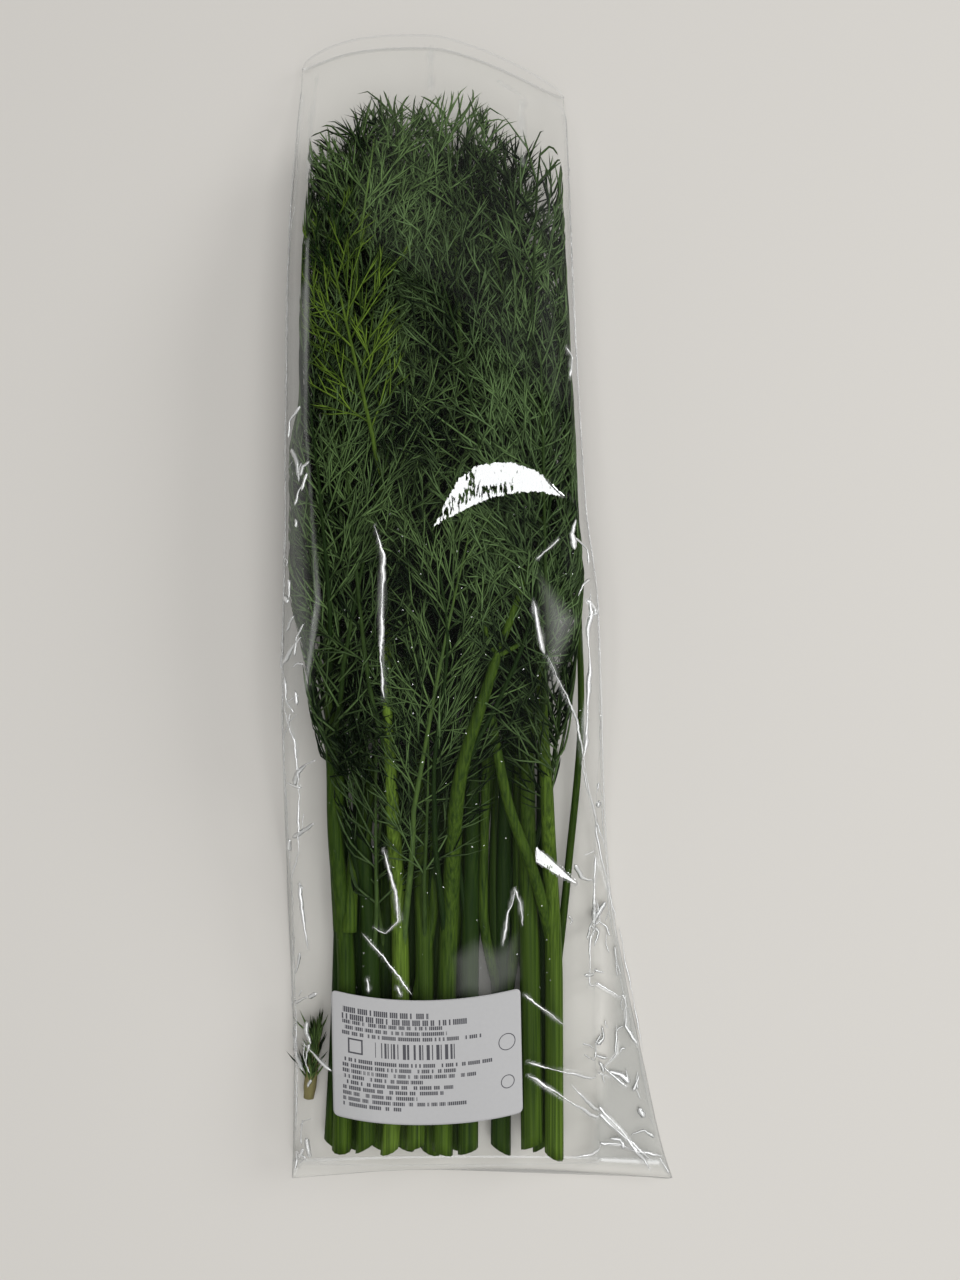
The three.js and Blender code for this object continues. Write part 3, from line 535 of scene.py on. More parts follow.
class FilmRelief:
    """How far the creased film stands off its smooth form, on a fine grid."""

    step = 0.5
    x = np.arange(-64, 64.1, step)
    y = np.arange(-183, 183.1, step)

    def __init__(self, seed, creases=1.0):
        grid_x, grid_y = np.meshgrid(self.x, self.y, indexing="ij")
        rng = np.random.default_rng(seed)
        relief = np.zeros_like(grid_x)
        tight = np.zeros_like(grid_x)
        crease = np.zeros_like(grid_x)
        for _ in range(Crumple.swells):
            heading = rng.uniform(0, math.pi)
            length = rng.uniform(*Crumple.swell_lengths)
            phase = rng.uniform(0, 2 * math.pi)
            along = grid_x * math.cos(heading) + grid_y * math.sin(heading)
            height = Crumple.swell_height * length
            relief += height * np.sin(2 * math.pi * along / length + phase)
        for points, height, half_width in CREASES:
            d, along = distance_to_line(grid_x, grid_y, points)
            ends = np.clip(np.minimum(along, 1 - along) * Crumple.end_fade, 0, 1)
            ridge = np.clip(1 - d / half_width, 0, 1) ** Crumple.sharpness
            relief += creases * height * ends * ridge
            phase, pace = rng.uniform(*Crumple.phases), rng.uniform(*Crumple.paces)
            swell = 0.5 + 0.5 * np.sin(along * pace * 2 + phase)
            width = (Crumple.width * half_width * (Crumple.wider[0] + Crumple.wider[1] * swell)
                     * (Crumple.narrow + Crumple.widen * ends))
            line = ((Crumple.line[0] + Crumple.line[1] * swell)
                    * (1 - smoothstep(d, width * 0.5, width * 1.5)))
            crease = np.maximum(crease, Crumple.line_mark * line)
        for outline, from_x, slope in TIGHT_PATCHES:
            inside = smoothstep(distance_inside(grid_x, grid_y, outline), *Crumple.patch_edge)
            past = np.maximum(grid_x - from_x, 0)
            drawn = Bag.ceiling(np.minimum(grid_x, from_x), grid_y) - slope * past
            relief += (np.maximum(drawn - Bag.ceiling(grid_x, grid_y), 0) - relief) * inside
            d, _ = distance_to_line(grid_x, grid_y, FRAYED)
            frayed = Crumple.frayed * (1 - smoothstep(d, *Crumple.frayed_reach))
            tight = np.maximum(tight, inside * (1 - frayed))
        # Grey veils: cloudy film, and painted shade over the flap.
        haze_and_shade = np.zeros_like(grid_x)
        for outline, share in HAZE_AND_SHADE_PATCHES:
            inside = smoothstep(distance_inside(grid_x, grid_y, outline), *Crumple.haze_edge)
            haze_and_shade = np.maximum(haze_and_shade, share * inside)
        self.relief, self.tight, self.crease, self.haze_and_shade = relief, tight, crease, haze_and_shade

    def at(self, x, y, table=None):
        table = self.relief if table is None else table
        u = np.clip((x - self.x[0]) / self.step, 0, len(self.x) - 1.001)
        v = np.clip((y - self.y[0]) / self.step, 0, len(self.y) - 1.001)
        i, j = u.astype(int), v.astype(int)
        du, dv = u - i, v - j
        return (table[i, j] * (1 - du) * (1 - dv) + table[i + 1, j] * du * (1 - dv)
                + table[i, j + 1] * (1 - du) * dv + table[i + 1, j + 1] * du * dv)

    def film_top(self, x, y):
        """The outside of the creased upper film."""
        left, right, *_ = Bag.section(y)
        near_edge = smoothstep(np.minimum(x - left, right - x), *Crumple.edge_fade)
        return np.maximum(Bag.ceiling(x, y) + self.at(x, y) * near_edge, Crumple.lowest_top)


# ---------------------------------------------------------------- mesh helpers
def new_piece(name, vertices, faces, material, values=None, smooth=True):
    """A mesh object from millimetre vertices. faces is a list of index arrays, one per size."""
    mesh = bpy.data.meshes.new(name)
    faces = [np.asarray(group, np.int32) for group in faces if len(group)]
    loops = np.concatenate([group.ravel() for group in faces])
    sizes = np.concatenate([np.full(len(group), group.shape[1]) for group in faces])
    starts = np.concatenate(([0], np.cumsum(sizes)[:-1])).astype(np.int32)
    mesh.vertices.add(len(vertices))
    mesh.vertices.foreach_set("co", (np.asarray(vertices, np.float32) * MM).ravel())
    mesh.loops.add(len(loops))
    mesh.loops.foreach_set("vertex_index", loops)
    mesh.polygons.add(len(sizes))
    mesh.polygons.foreach_set("loop_start", starts)
    mesh.update(calc_edges=True)
    mesh.polygons.foreach_set("use_smooth", np.full(len(sizes), smooth))
    for key, numbers in (values or {}).items():
        layer = mesh.attributes.new(key, "FLOAT", "POINT")
        layer.data.foreach_set("value", np.asarray(numbers, np.float32).ravel())
    mesh.validate()
    mesh.materials.append(material)
    piece = bpy.data.objects.new(name, mesh)
    bpy.context.scene.collection.objects.link(piece)
    return piece


def ring_faces(rings, around):
    """Faces between rings of points that follow one another along a form."""
    ring = np.arange(rings - 1)[:, None] * around
    j = np.arange(around)
    k = (j + 1) % around
    faces = np.stack((ring + j, ring + around + j, ring + around + k, ring + k), axis=-1)
    return faces.reshape(-1, 4), j, k


class TubeBatch:
    """Collects tapered tubes along many paths at once, and joins them into one mesh."""

    def __init__(self):
        self.vertices, self.triangles, self.quads, self.values = [], [], [], []
        self.count = 0

    def add(self, paths, radii, sides, values, pointed=True, flat=1.0):
        """paths is (tubes, points, 3), radii (tubes, points), values (tubes, kinds)."""
        paths, radii = np.asarray(paths, float), np.asarray(radii, float)
        tubes, points, _ = paths.shape
        if tubes == 0:
            return
        along = np.gradient(paths, axis=1)
        along /= np.linalg.norm(along, axis=2, keepdims=True) + 1e-9
        side = np.cross(along, (0.0, 0.0, 1.0))
        side /= np.linalg.norm(side, axis=2, keepdims=True) + 1e-9
        up = np.cross(side, along)
        rings = points - 1 if pointed else points
        angle = 2 * np.pi * np.arange(sides) / sides + np.pi / 2
        spokes = (side[:, :rings, None] * np.cos(angle)[:, None]
                  + up[:, :rings, None] * np.sin(angle)[:, None] * flat)
        body = paths[:, :rings, None] + spokes * radii[:, :rings, None, None]
        body = body.reshape(tubes, rings * sides, 3)
        tip = paths[:, -1:]
        vertices = np.concatenate((body, tip), axis=1) if pointed else body
        each = vertices.shape[1]
        base = self.count + np.arange(tubes)[:, None, None] * each
        quads, j, k = ring_faces(rings, sides)
        self.quads.append((base + quads[None]).reshape(-1, 4))
        last = (rings - 1) * sides
        fan = np.arange(1, sides - 1)
        if pointed:
            cone = np.stack((last + j, np.full(sides, each - 1), last + k), axis=-1)
        else:
            cone = np.stack((np.full(sides - 2, last), last + fan + 1, last + fan), axis=-1)
        foot = np.stack((np.zeros(sides - 2, int), fan, fan + 1), axis=-1)
        for part in (cone, foot):
            self.triangles.append((base + part[None]).reshape(-1, 3))
        self.vertices.append(vertices.reshape(-1, 3))
        self.values.append(np.repeat(np.asarray(values, float), each, axis=0))
        self.count += tubes * each

    def piece(self, name, material, kinds):
        values = np.concatenate(self.values)
        return new_piece(name, np.concatenate(self.vertices),
                         [np.concatenate(self.quads), np.concatenate(self.triangles)],
                         material, {kind: values[:, i] for i, kind in enumerate(kinds)})


# ---------------------------------------------------------------- dill
def arc_points(start, heading, bend, reach):
    """Places along arcs that start at (u, v) with a heading from +v and bend by so much per mm."""
    bend = np.where(np.abs(bend) < 1e-5, 1e-5, bend)
    turned = heading + bend * reach
    u = start[..., 0] + (np.cos(heading) - np.cos(turned)) / bend
    v = start[..., 1] + (np.sin(turned) - np.sin(heading)) / bend
    return np.stack((u, v), axis=-1), turned


class Stem:
    """One stem's line from its cut end up into the foliage."""

    taper = staticmethod(curve_through(STEM_STATIONS, STEM_TAPER))

    def __init__(self, name):
        self.layer, self.thick, across = STEMS[name]
        self.x = curve_through(STEM_STATIONS, across)
        self.row_z = LOWER_ROW_Z if self.layer < LAYERS / 2 else UPPER_ROW_Z
        self.dip = DIPS.get(name, NO_DIP)
        self.rise = RISE[1] if name == RISE[0] else 0
        self.fresh = FRESH_STEMS.get(name, 0)
        self.youth = 2 * self.fresh if name in OWN_FRONDS else 0.0

    def z(self, y):
        fan = smoothstep(y, *FAN_OUT)
        depth = self.layer + 0.5 + self.rise - (DIP_LEVELS + self.rise) * smoothstep(y, *self.dip)
        level = Bag.level(self.x(y), y, depth)
        return self.row_z + (level - self.row_z) * fan

    def radius(self, y):
        return 1.04 * self.thick * self.taper(y)

    def line(self, y):
        return np.stack((self.x(y), y, self.z(y)), axis=-1)


def soft_limit(value, low, high, soft):
    """Values stay between two limits and crowd up softly towards them."""
    value = np.where(value > high - soft,
                     high - soft * np.exp(-(value - high + soft) / soft), value)
    return np.where(value < low + soft, low + soft * np.exp((value - low - soft) / soft), value)


foliage_top = curve_through(*zip(*TOP_OUTLINE))
bare_left, bare_right = (curve_through([strip[0] for strip in BARE_STRIPS],
                                       [strip[side] for strip in BARE_STRIPS])
                         for side in (1, 2))


def light_at(x, y, layer):
    """Painted light and shade on the fronds over a place: lighter and darker clumps, lighter tips
    and darker low down.
    """
    clumps = sum(much * np.sin(a * x + b * y + c) * np.sin(d * x + e * y + f)
                 for much, (a, b, c), (d, e, f) in LIGHT_WAVES)
    at_top = TIP_LIGHT[layer >= 2] * smoothstep(y, *TIP_LIGHT_Y)
    low_down = LOW_SHADE * (1 - smoothstep(y, *LOW_SHADE_Y))
    return clumps + at_top - low_down


class FrondPlace:
    """Lays a frond's flat form along its stem into the bag's curved layer."""

    def __init__(self, stem, relief, start, turn, lean, level, stalk):
        self.stem, self.relief, self.start = stem, relief, start
        self.turn, self.lean, self.level, self.stalk = turn, lean, level, stalk

    def spread(self, flat):
        """Where flat places lie from above, how far they have left the stem, and the limits."""
        u, v = flat[..., 0], flat[..., 1]
        grown = np.maximum(v, 0)
        sideways = u * np.cos(self.turn) + grown * np.sin(self.turn)
        y = self.start + v * np.where(v > 0, np.cos(self.turn), 1) - u * np.sin(self.turn)
        left = smoothstep(v, -self.stalk, 3)
        _, _, low, high, *_ = Bag.section(y)
        x = self.stem.x(y) + sideways + self.lean * left
        return x, y, left, low + bare_left(y), high - bare_right(y)

    def inside(self, flat, rng):
        """Which threads start where there is foliage, and the painted light and shade there."""
        x, y, _, low, high = self.spread(flat)
        ragged = rng.uniform(*RAGGED, x.shape) + STANDS_OUT * (rng.random(x.shape) < FEW)
        inside = (x > low - 1) & (x < high + 1) & (y < foliage_top(x) + ragged)
        return inside, light_at(x, y, self.stem.layer)

    def __call__(self, flat, lift):
        x, y, left, low, high = self.spread(flat)
        x += (soft_limit(x, low, high, SOFT_SIDES) - x) * left
        y = soft_limit(y, NO_LIMIT_Y, foliage_top(x) + PAST_OUTLINE, SOFT_TIPS)
        z = Bag.level(x, y, self.level) + lift
        top = self.relief.film_top(x, y) - UNDER_FILM
        bottom = Bag.floor(x, y) + OVER_FLOOR
        z = soft_limit(z, bottom, np.maximum(top, bottom + LEAST_ROOM), SOFT_FILM)
        z = self.stem.z(y) + (z - self.stem.z(y)) * left
        return np.stack((x, y, z), axis=-1)


def fold_lines(relief, rng):
    """Painted highlights on the sharp edges of the film's creases, as thin flat strips just above
    the film.
    """
    batch = TubeBatch()
    sides = [([(Bag.curves[edge](y) + inset, y) for y in np.arange(*EDGE_FOLD_Y)],
              EDGE_FOLD_WIDTH, share) for edge, inset, share in EDGE_FOLDS]
    drawn = [(points, half_width, 1.0) for points, height, half_width in CREASES if height > 0]
    for points, half_width, share in drawn + sides + crinkles(rng):
        points = np.asarray(points, float)
        lengths = np.hypot(*np.diff(points, axis=0).T)
        along = np.concatenate(([0.0], np.cumsum(lengths)))
        count = max(6, int(along[-1] / FoldStrip.step))
        at = np.linspace(0, along[-1], count)
        line = np.stack([np.interp(at, along, points[:, i]) for i in (0, 1)], axis=-1)
        shake = np.cumsum(rng.normal(0, FoldStrip.shake, (count, 2)), axis=0)
        line += shake - np.linspace(shake[0], shake[-1], count)
        ends = np.minimum(np.linspace(0, 1, count), np.linspace(1, 0, count))
        swell, more = FoldStrip.swell
        swell = swell + more * np.sin(at * rng.uniform(*FoldStrip.waves) + rng.uniform(0, 6))
        least, wider = FoldStrip.width
        width = half_width * (least + wider * swell * rng.uniform(*FoldStrip.uneven, count))
        width *= smoothstep(ends, *FoldStrip.fade)
        height = relief.film_top(line[:, 0], line[:, 1]) + FoldStrip.above_film
        path = np.column_stack((line, height))
        batch.add(path[None], width[None], 4, [(0.0, share, 0.0, 0.0)],
                  flat=FoldStrip.flat)
    return batch


def crinkles(rng):
    """Small random creases where the film lies slack, beside the bunch and on the flap, drawn only
    as painted highlights.
    """
    found = []
    for side, low, high, count, reach in CRINKLES:
        for _ in range(count):
            y = rng.uniform(low, high)
            inset = rng.uniform(CRINKLE_INSET, reach)
            x = Bag.curves[side](y) + (inset if side == "left" else -inset)
            heading = rng.normal(0, CRINKLE_TURN)
            size = rng.uniform(*CRINKLE_SIZES)
            kink = rng.normal(0, CRINKLE_KINK)
            middle = (x + 0.5 * size * math.sin(heading), y + 0.5 * size * math.cos(heading))
            end = (middle[0] + 0.5 * size * math.sin(heading + kink),
                   middle[1] + 0.5 * size * math.cos(heading + kink))
            line = [(x, y), middle, end]
            if all(Bag.curves["left"](b) + CRINKLE_MARGIN < a
                   < Bag.curves["right"](b) - CRINKLE_MARGIN and b > CRINKLE_LOWEST
                   for a, b in line):
                found.append((line, rng.uniform(*CRINKLE_WIDTHS), rng.uniform(*CRINKLE_SHARES)))
    return found


def grow_frond(batch, place, rng, sizes, length, reach, tone, young, thick):
    """A feathery frond: rib, side ribs, twigs and fine threads, flat, then laid in place."""
    def wander(spread, *shape):
        return rng.uniform(-spread, spread, shape)

    def tubes(points, lift, thick, kind, sides=3, flat=0.8, thinning=1.3):
        count, steps = points.shape[:2]
        radii = thick[0] + (thick[1] - thick[0]) * np.linspace(0, 1, steps) ** thinning
        radii = np.broadcast_to(radii, (count, steps)) * sizes.thread_radius / MM
        keep, light = place.inside(points[:, 0], rng)
        # A thread's tone: its frond's, the painted light and shade over its place, a random draw,
        # and painted shade where it lies deeper.
        tones = tone + light + wander(Vary.tone, count) + Frond.lift_shade * lift.mean(axis=1)
        tones = np.clip(tones, *TONE_LIMITS)
        values = np.stack((tones, np.full(count, kind), np.full(count, young)), axis=-1)
        batch.add(place(points, lift)[keep], radii[keep], sides, values[keep], flat=flat)

    def lift_along(base, slope, steps, lengths):
        return base[:, None] + slope[:, None] * lengths[:, None] * np.linspace(0, 1, steps)

    # The rib, from inside the stem to the frond's tip.
    sway = wander(Vary.sway, 1)[0]
    steps = Frond.rib_steps
    rib_v = np.linspace(-place.stalk, length, steps)
    rib, _ = arc_points(np.zeros((steps, 2)), 0.0, sway, np.maximum(rib_v, 0))
    rib[:, 1] += np.minimum(rib_v, 0)
    tubes(rib[None], np.zeros((1, steps)), (thick, Frond.rib_tip), Frond.rib_kind, sides=8,
          flat=1.0, thinning=0.6)

    # Side ribs in pairs, shorter towards the tip.
    pairs = max(Frond.fewest_pairs, int(length / sizes.pair_spacing * MM))
    share = np.repeat((np.arange(pairs) + Frond.first_pair) / pairs, 2)
    share = np.clip(share + wander(Vary.pair_place / pairs, 2 * pairs), *Frond.pair_range)
    side = np.tile((-1.0, 1.0), pairs)
    line = Frond.side_line[0] + Frond.side_line[1] * share
    side_length = reach * (1 - share) ** Frond.side_power * line + Frond.side_least
    side_length *= 1 + wander(Vary.side_length, 2 * pairs)
    starts, at = arc_points(np.zeros((2 * pairs, 2)), 0.0, sway, share * length)
    heading = at + side * np.radians(SIDE_RIB_ANGLE - LESS_AT_TIP * share
                                        + wander(Vary.side_angle, 2 * pairs))
    bend = -side * np.radians(Frond.side_bend + wander(Vary.side_bend, 2 * pairs)) / side_length
    steps = Frond.side_steps
    reach_along = side_length[:, None] * np.linspace(0, 1, steps)
    ribs, _ = arc_points(starts[:, None], heading[:, None], bend[:, None], reach_along)
    base = wander(Vary.side_lift, 2 * pairs)
    slope = wander(Vary.side_slope, 2 * pairs)
    tubes(ribs, lift_along(base, slope, steps, side_length) * np.linspace(0.2, 1, steps),
          Frond.side_thick, Frond.side_kind)

    # Twigs along each side rib, to both its sides in turn.
    spacing = sizes.twig_spacing / MM
    owner = np.concatenate([np.full(max(2, int(l / spacing)), i)
                            for i, l in enumerate(side_length)])
    number = np.concatenate([np.arange(max(2, int(l / spacing))) for l in side_length])
    fill = number + Frond.first_twig + wander(Vary.twig_place, len(owner))
    fill = np.clip(fill * spacing / side_length[owner], *Frond.twig_range)
    alternate = np.where((number + owner) % 2, 1.0, -1.0)
    starts, at = arc_points(starts[owner], heading[owner], bend[owner],
                            fill * side_length[owner])
    outward = alternate * side[owner] > 0
    spread = np.where(outward, *TWIG_ANGLES) + wander(Vary.twig_angle, len(owner))
    heading = at + alternate * np.radians(spread)
    twig_length = sizes.thread_length / MM * (
        Frond.twig_line[0] + Frond.twig_line[1] * (1 - fill)
        + wander(Vary.twig_length, len(owner)))
    bend = (-heading * Frond.twig_curl / twig_length
            + np.radians(wander(Vary.twig_bend, len(owner))) / twig_length)
    base = base[owner] + slope[owner] * fill * side_length[owner]
    slope = wander(Vary.twig_slope, len(owner))
    steps = Frond.twig_steps
    reach_along = twig_length[:, None] * np.linspace(0, 1, steps)
    twigs, _ = arc_points(starts[:, None], heading[:, None], bend[:, None], reach_along)
    tubes(twigs, lift_along(base, slope, steps, twig_length), Frond.twig_thick,
          Frond.twig_kind)

    # Fine threads that fork off each twig.
    steps = Frond.thread_steps
    for fork, sign in FORKS:
        flip = sign * np.where(rng.random(len(owner)) < 0.5, 1, -1)
        begin, at = arc_points(starts, heading, bend, twig_length * fork)
        direction = at + flip * np.radians(FORK_ANGLE + wander(Vary.thread_angle, len(owner)))
        size = twig_length * (1 - fork) * (Frond.thread_share
                                           + wander(Vary.thread_length, len(owner)))
        curve = -direction * Frond.thread_curl / size
        reach_along = size[:, None] * np.linspace(0, 1, steps)
        threads, _ = arc_points(begin[:, None], direction[:, None], curve[:, None], reach_along)
        thread_base = base + slope * twig_length * fork
        thread_slope = wander(Vary.thread_slope, len(owner))
        tubes(threads, lift_along(thread_base, thread_slope, steps, size), Frond.thread_thick,
              Frond.thread_kind)


def ribbed_stem(batch, stem, rng, low, high, sizes):
    """A stem's round, finely ribbed rod with its slanting cut end."""
    rings, sides = STEM_RINGS, sizes.stem_ribs * 2
    y = np.linspace(low, high, rings)
    centre = stem.line(y)
    radius = stem.radius(y)
    angle = 2 * np.pi * np.arange(sides) / sides
    ribs = 1 + sizes.rib_depth * np.where(np.arange(sides) % 2, -1, 1)
    profile = radius[:, None] * ribs
    slant = rng.uniform(*CutEnd.slant)
    offset_x = np.cos(angle) * profile
    offset_z = np.sin(angle) * profile
    cut = (slant * offset_x + rng.uniform(*CutEnd.tilt) * offset_z) * smoothstep(
        -(y - low), -CutEnd.reach, 0)[:, None]
    body = np.stack((centre[:, 0, None] + offset_x, centre[:, 1, None] + cut,
                     centre[:, 2, None] + offset_z), axis=-1).reshape(-1, 3)
    quads, j, k = ring_faces(rings, sides)
    rim_share, middle_share = CutEnd.rim_share
    hollow = (body[:sides] * rim_share + body[:sides].mean(0) * middle_share
              + (0, CutEnd.depth, 0))
    floor = hollow.mean(0) + (0, CutEnd.floor_depth, 0)
    end = body[-sides:].mean(0)
    vertices = np.concatenate((body, hollow, [floor, end]))
    first = rings * sides
    rim = np.stack((j, k, first + k, first + j), axis=-1)
    pith = np.stack((first + j, first + k, np.full(sides, first + sides)), axis=-1)
    last = (rings - 1) * sides
    tip = np.stack((last + k, last + j, np.full(sides, first + sides + 1)), axis=-1)
    # Lower stems are darker: painted shade, with a random draw, and fresh stems lighter.
    step, lowest, draw = STEM_TONES_AND_SHADE
    tones = np.full(len(vertices), step * stem.layer - lowest + rng.uniform(*draw) + stem.fresh)
    tones += CutEnd.pale * (1 - smoothstep(vertices[:, 1], low + CutEnd.pale_from,
                                           low + CutEnd.pale_to))
    kinds = np.full(len(vertices), 2.0)
    kinds[first:first + sides + 1] = 3.0
    batch.quads += [quads + batch.count, rim + batch.count]
    batch.triangles += [pith + batch.count, tip + batch.count]
    batch.vertices.append(vertices)
    batch.values.append(np.stack((tones, kinds, np.full_like(tones, stem.youth)), axis=-1))
    batch.count += len(vertices)


def side_stalk(batch, stem, rng, points, layer, thick):
    """A leaf stalk that leaves its stem low down and runs up beside it."""
    points = np.asarray(points, float)
    y = np.linspace(points[0, 1], points[-1, 1], 22)
    x = curve_through(points[:, 1], points[:, 0])(y)
    share = np.linspace(0, 1, 22)
    z = Bag.level(x, y, np.linspace(*layer, 22))
    if abs(points[0, 0] - stem.x(points[0, 1])) < 2.6:
        z = stem.z(y) + (z - stem.z(y)) * smoothstep(share, 0, 0.35)
    radii = thick[0] + (thick[1] - thick[0]) * share
    # Stalks that lie lower are darker: painted shade, with a random draw.
    batch.add(np.stack((x, y, z), axis=-1)[None], radii[None], 14,
              [(0.1 + 0.2 * layer[0] + rng.uniform(-0.1, 0.1), 2.0, 0.0)], pointed=False)


# ---------------------------------------------------------------- materials
def add_node(tree, kind, inputs=None, **settings):
    """A shader node. Each of its inputs gets a value or a link from another node's socket."""
    node = tree.nodes.new(kind)
    for key, value in settings.items():
        setattr(node, key, value)
    for key, value in (inputs or {}).items():
        if isinstance(value, bpy.types.NodeSocket):
            tree.links.new(value, node.inputs[key])
        else:
            node.inputs[key].default_value = value
    return node


def calculate(tree, operation, *values, clamp=False):
    return add_node(tree, "ShaderNodeMath", dict(enumerate(values)), operation=operation,
                    use_clamp=clamp).outputs[0]


def attribute(tree, name):
    return add_node(tree, "ShaderNodeAttribute", attribute_name=name).outputs["Fac"]


def object_place(tree):
    return add_node(tree, "ShaderNodeTexCoord").outputs["Object"]


def noise(tree, place, scale, detail=2.0):
    return add_node(tree, "ShaderNodeTexNoise",
                    {"Vector": place, "Scale": scale, "Detail": detail}).outputs["Fac"]


def stretched(tree, place, scale):
    """Places scaled differently along each axis, for streaks."""
    return add_node(tree, "ShaderNodeMapping",
                    {"Vector": place, "Scale": scale}).outputs["Vector"]


def map_range(tree, value, **ends):
    """A value moved from one range to another; both are 0 to 1 where not given."""
    inputs = {key.replace("_", " ").title(): number for key, number in ends.items()}
    return add_node(tree, "ShaderNodeMapRange", {"Value": value, **inputs}).outputs[0]


def mix_colours(tree, share, first, second):
    return add_node(tree, "ShaderNodeMix", {"Factor": share, "A": first, "B": second},
                    data_type="RGBA").outputs["Result"]


def mix_shaders(tree, share, first, second):
    return add_node(tree, "ShaderNodeMixShader",
                    {0: share, 1: first.outputs[0], 2: second.outputs[0]})


def bump_normal(tree, height, strength, distance):
    return add_node(tree, "ShaderNodeBump", {"Height": height, "Strength": strength,
                                             "Distance": distance}).outputs["Normal"]


def plain_material(name):
    """A new material, its nodes and its main shader."""
    material = bpy.data.materials.new(name)
    material.use_nodes = True
    tree = material.node_tree
    shader = next(n for n in tree.nodes if n.type == "BSDF_PRINCIPLED")
    return material, tree, shader


def group_frame(name, inputs, outputs):
    """An empty shader group with named sockets, and its ends."""
    tree = bpy.data.node_groups.new(name, "ShaderNodeTree")
    for socket, kind, value in inputs:
        tree.interface.new_socket(socket, in_out="INPUT", socket_type=kind).default_value = value
    for socket, kind in outputs:
        tree.interface.new_socket(socket, in_out="OUTPUT", socket_type=kind)
    return tree, tree.nodes.new("NodeGroupInput").outputs, tree.nodes.new("NodeGroupOutput")


def plant_skin_group():
    """Colour and fine relief of dill: mottled green that differs from thread to thread, and
    painted shade carried in each thread's and stem's tone.
    """
    shades = {"Dark": (0.02, 0.05, 0.02), "Light": (0.06, 0.12, 0.04),
              "Young Dark": (0.06, 0.15, 0.02), "Young Light": (0.2, 0.4, 0.04),
              "Rib Dark": (0.03, 0.06, 0.01), "Rib": (0.1, 0.2, 0.04), "Cut": (0.3, 0.34, 0.14)}
    tree, given, end = group_frame(
        "Plant Skin",
        [(name, "NodeSocketColor", (*shade, 1)) for name, shade in shades.items()]
        + [("Mottle Scale", "NodeSocketFloat", 180.0)],
        [("Colour", "NodeSocketColor"), ("Roughness", "NodeSocketFloat"),
         ("Height", "NodeSocketFloat")])
    tone, kind, young = (attribute(tree, name) for name in ("tone", "kind", "young"))
    place = object_place(tree)
    mottle = noise(tree, place, given["Mottle Scale"], detail=3)
    streak = noise(tree, stretched(tree, place, STREAK_SCALE), 1.0)
    # Leaf threads: from dark to light by their tone, which holds painted shade, and the mottling.
    dark, light, rib = (mix_colours(tree, young, given[old], given[new]) for old, new in (
        ("Dark", "Young Dark"), ("Light", "Young Light"), ("Rib", "Young Light")))
    shade = calculate(tree, "MULTIPLY_ADD", mottle, MOTTLE_SHARE,
                      calculate(tree, "SUBTRACT", tone, MOTTLE_SHARE / 2), clamp=True)
    leaf = mix_colours(tree, shade, dark, light)
    # Stems: fine streaks along them, darker where their tone holds painted shade.
    depth = calculate(tree, "MULTIPLY", map_range(tree, streak, from_min=0.2, from_max=0.8),
                      map_range(tree, tone, to_min=STEM_SHADES[0], to_max=STEM_SHADES[1]),
                      clamp=True)
    stem = mix_colours(tree, depth, given["Rib Dark"], rib)
    # The kind of surface: 0 is a thread, 2 a stem and 3 a cut end.
    skin = mix_colours(tree, calculate(tree, "MULTIPLY", kind, 0.5, clamp=True), leaf, stem)
    skin = mix_colours(tree, calculate(tree, "SUBTRACT", kind, 2.0, clamp=True), skin,
                       given["Cut"])
    rough = map_range(tree, mottle, to_min=SKIN_ROUGH[0], to_max=SKIN_ROUGH[1])
    for name, socket in (("Colour", skin), ("Roughness", rough), ("Height", streak)):
        tree.links.new(socket, end.inputs[name])
    return tree


def plant_material(name, group, colours, cut):
    """Dill's skin with its colours, faintly glossy."""
    material, tree, shader = plain_material(name)
    shades = {"Dark": colours.leaf_dark, "Light": colours.leaf_light,
              "Young Dark": colours.bright_dark, "Young Light": colours.bright_light,
              "Rib Dark": colours.rib_dark, "Rib": colours.rib, "Cut": cut}
    skin = add_node(tree, "ShaderNodeGroup", node_tree=group)
    for socket, value in shades.items():
        skin.inputs[socket].default_value = (*value, 1)
    tree.links.new(skin.outputs["Colour"], shader.inputs["Base Color"])
    tree.links.new(skin.outputs["Roughness"], shader.inputs["Roughness"])
    tree.links.new(bump_normal(tree, skin.outputs["Height"], *SKIN_BUMP),
                   shader.inputs["Normal"])
    shader.inputs["Specular IOR Level"].default_value = LEAF_SPECULAR
    return material


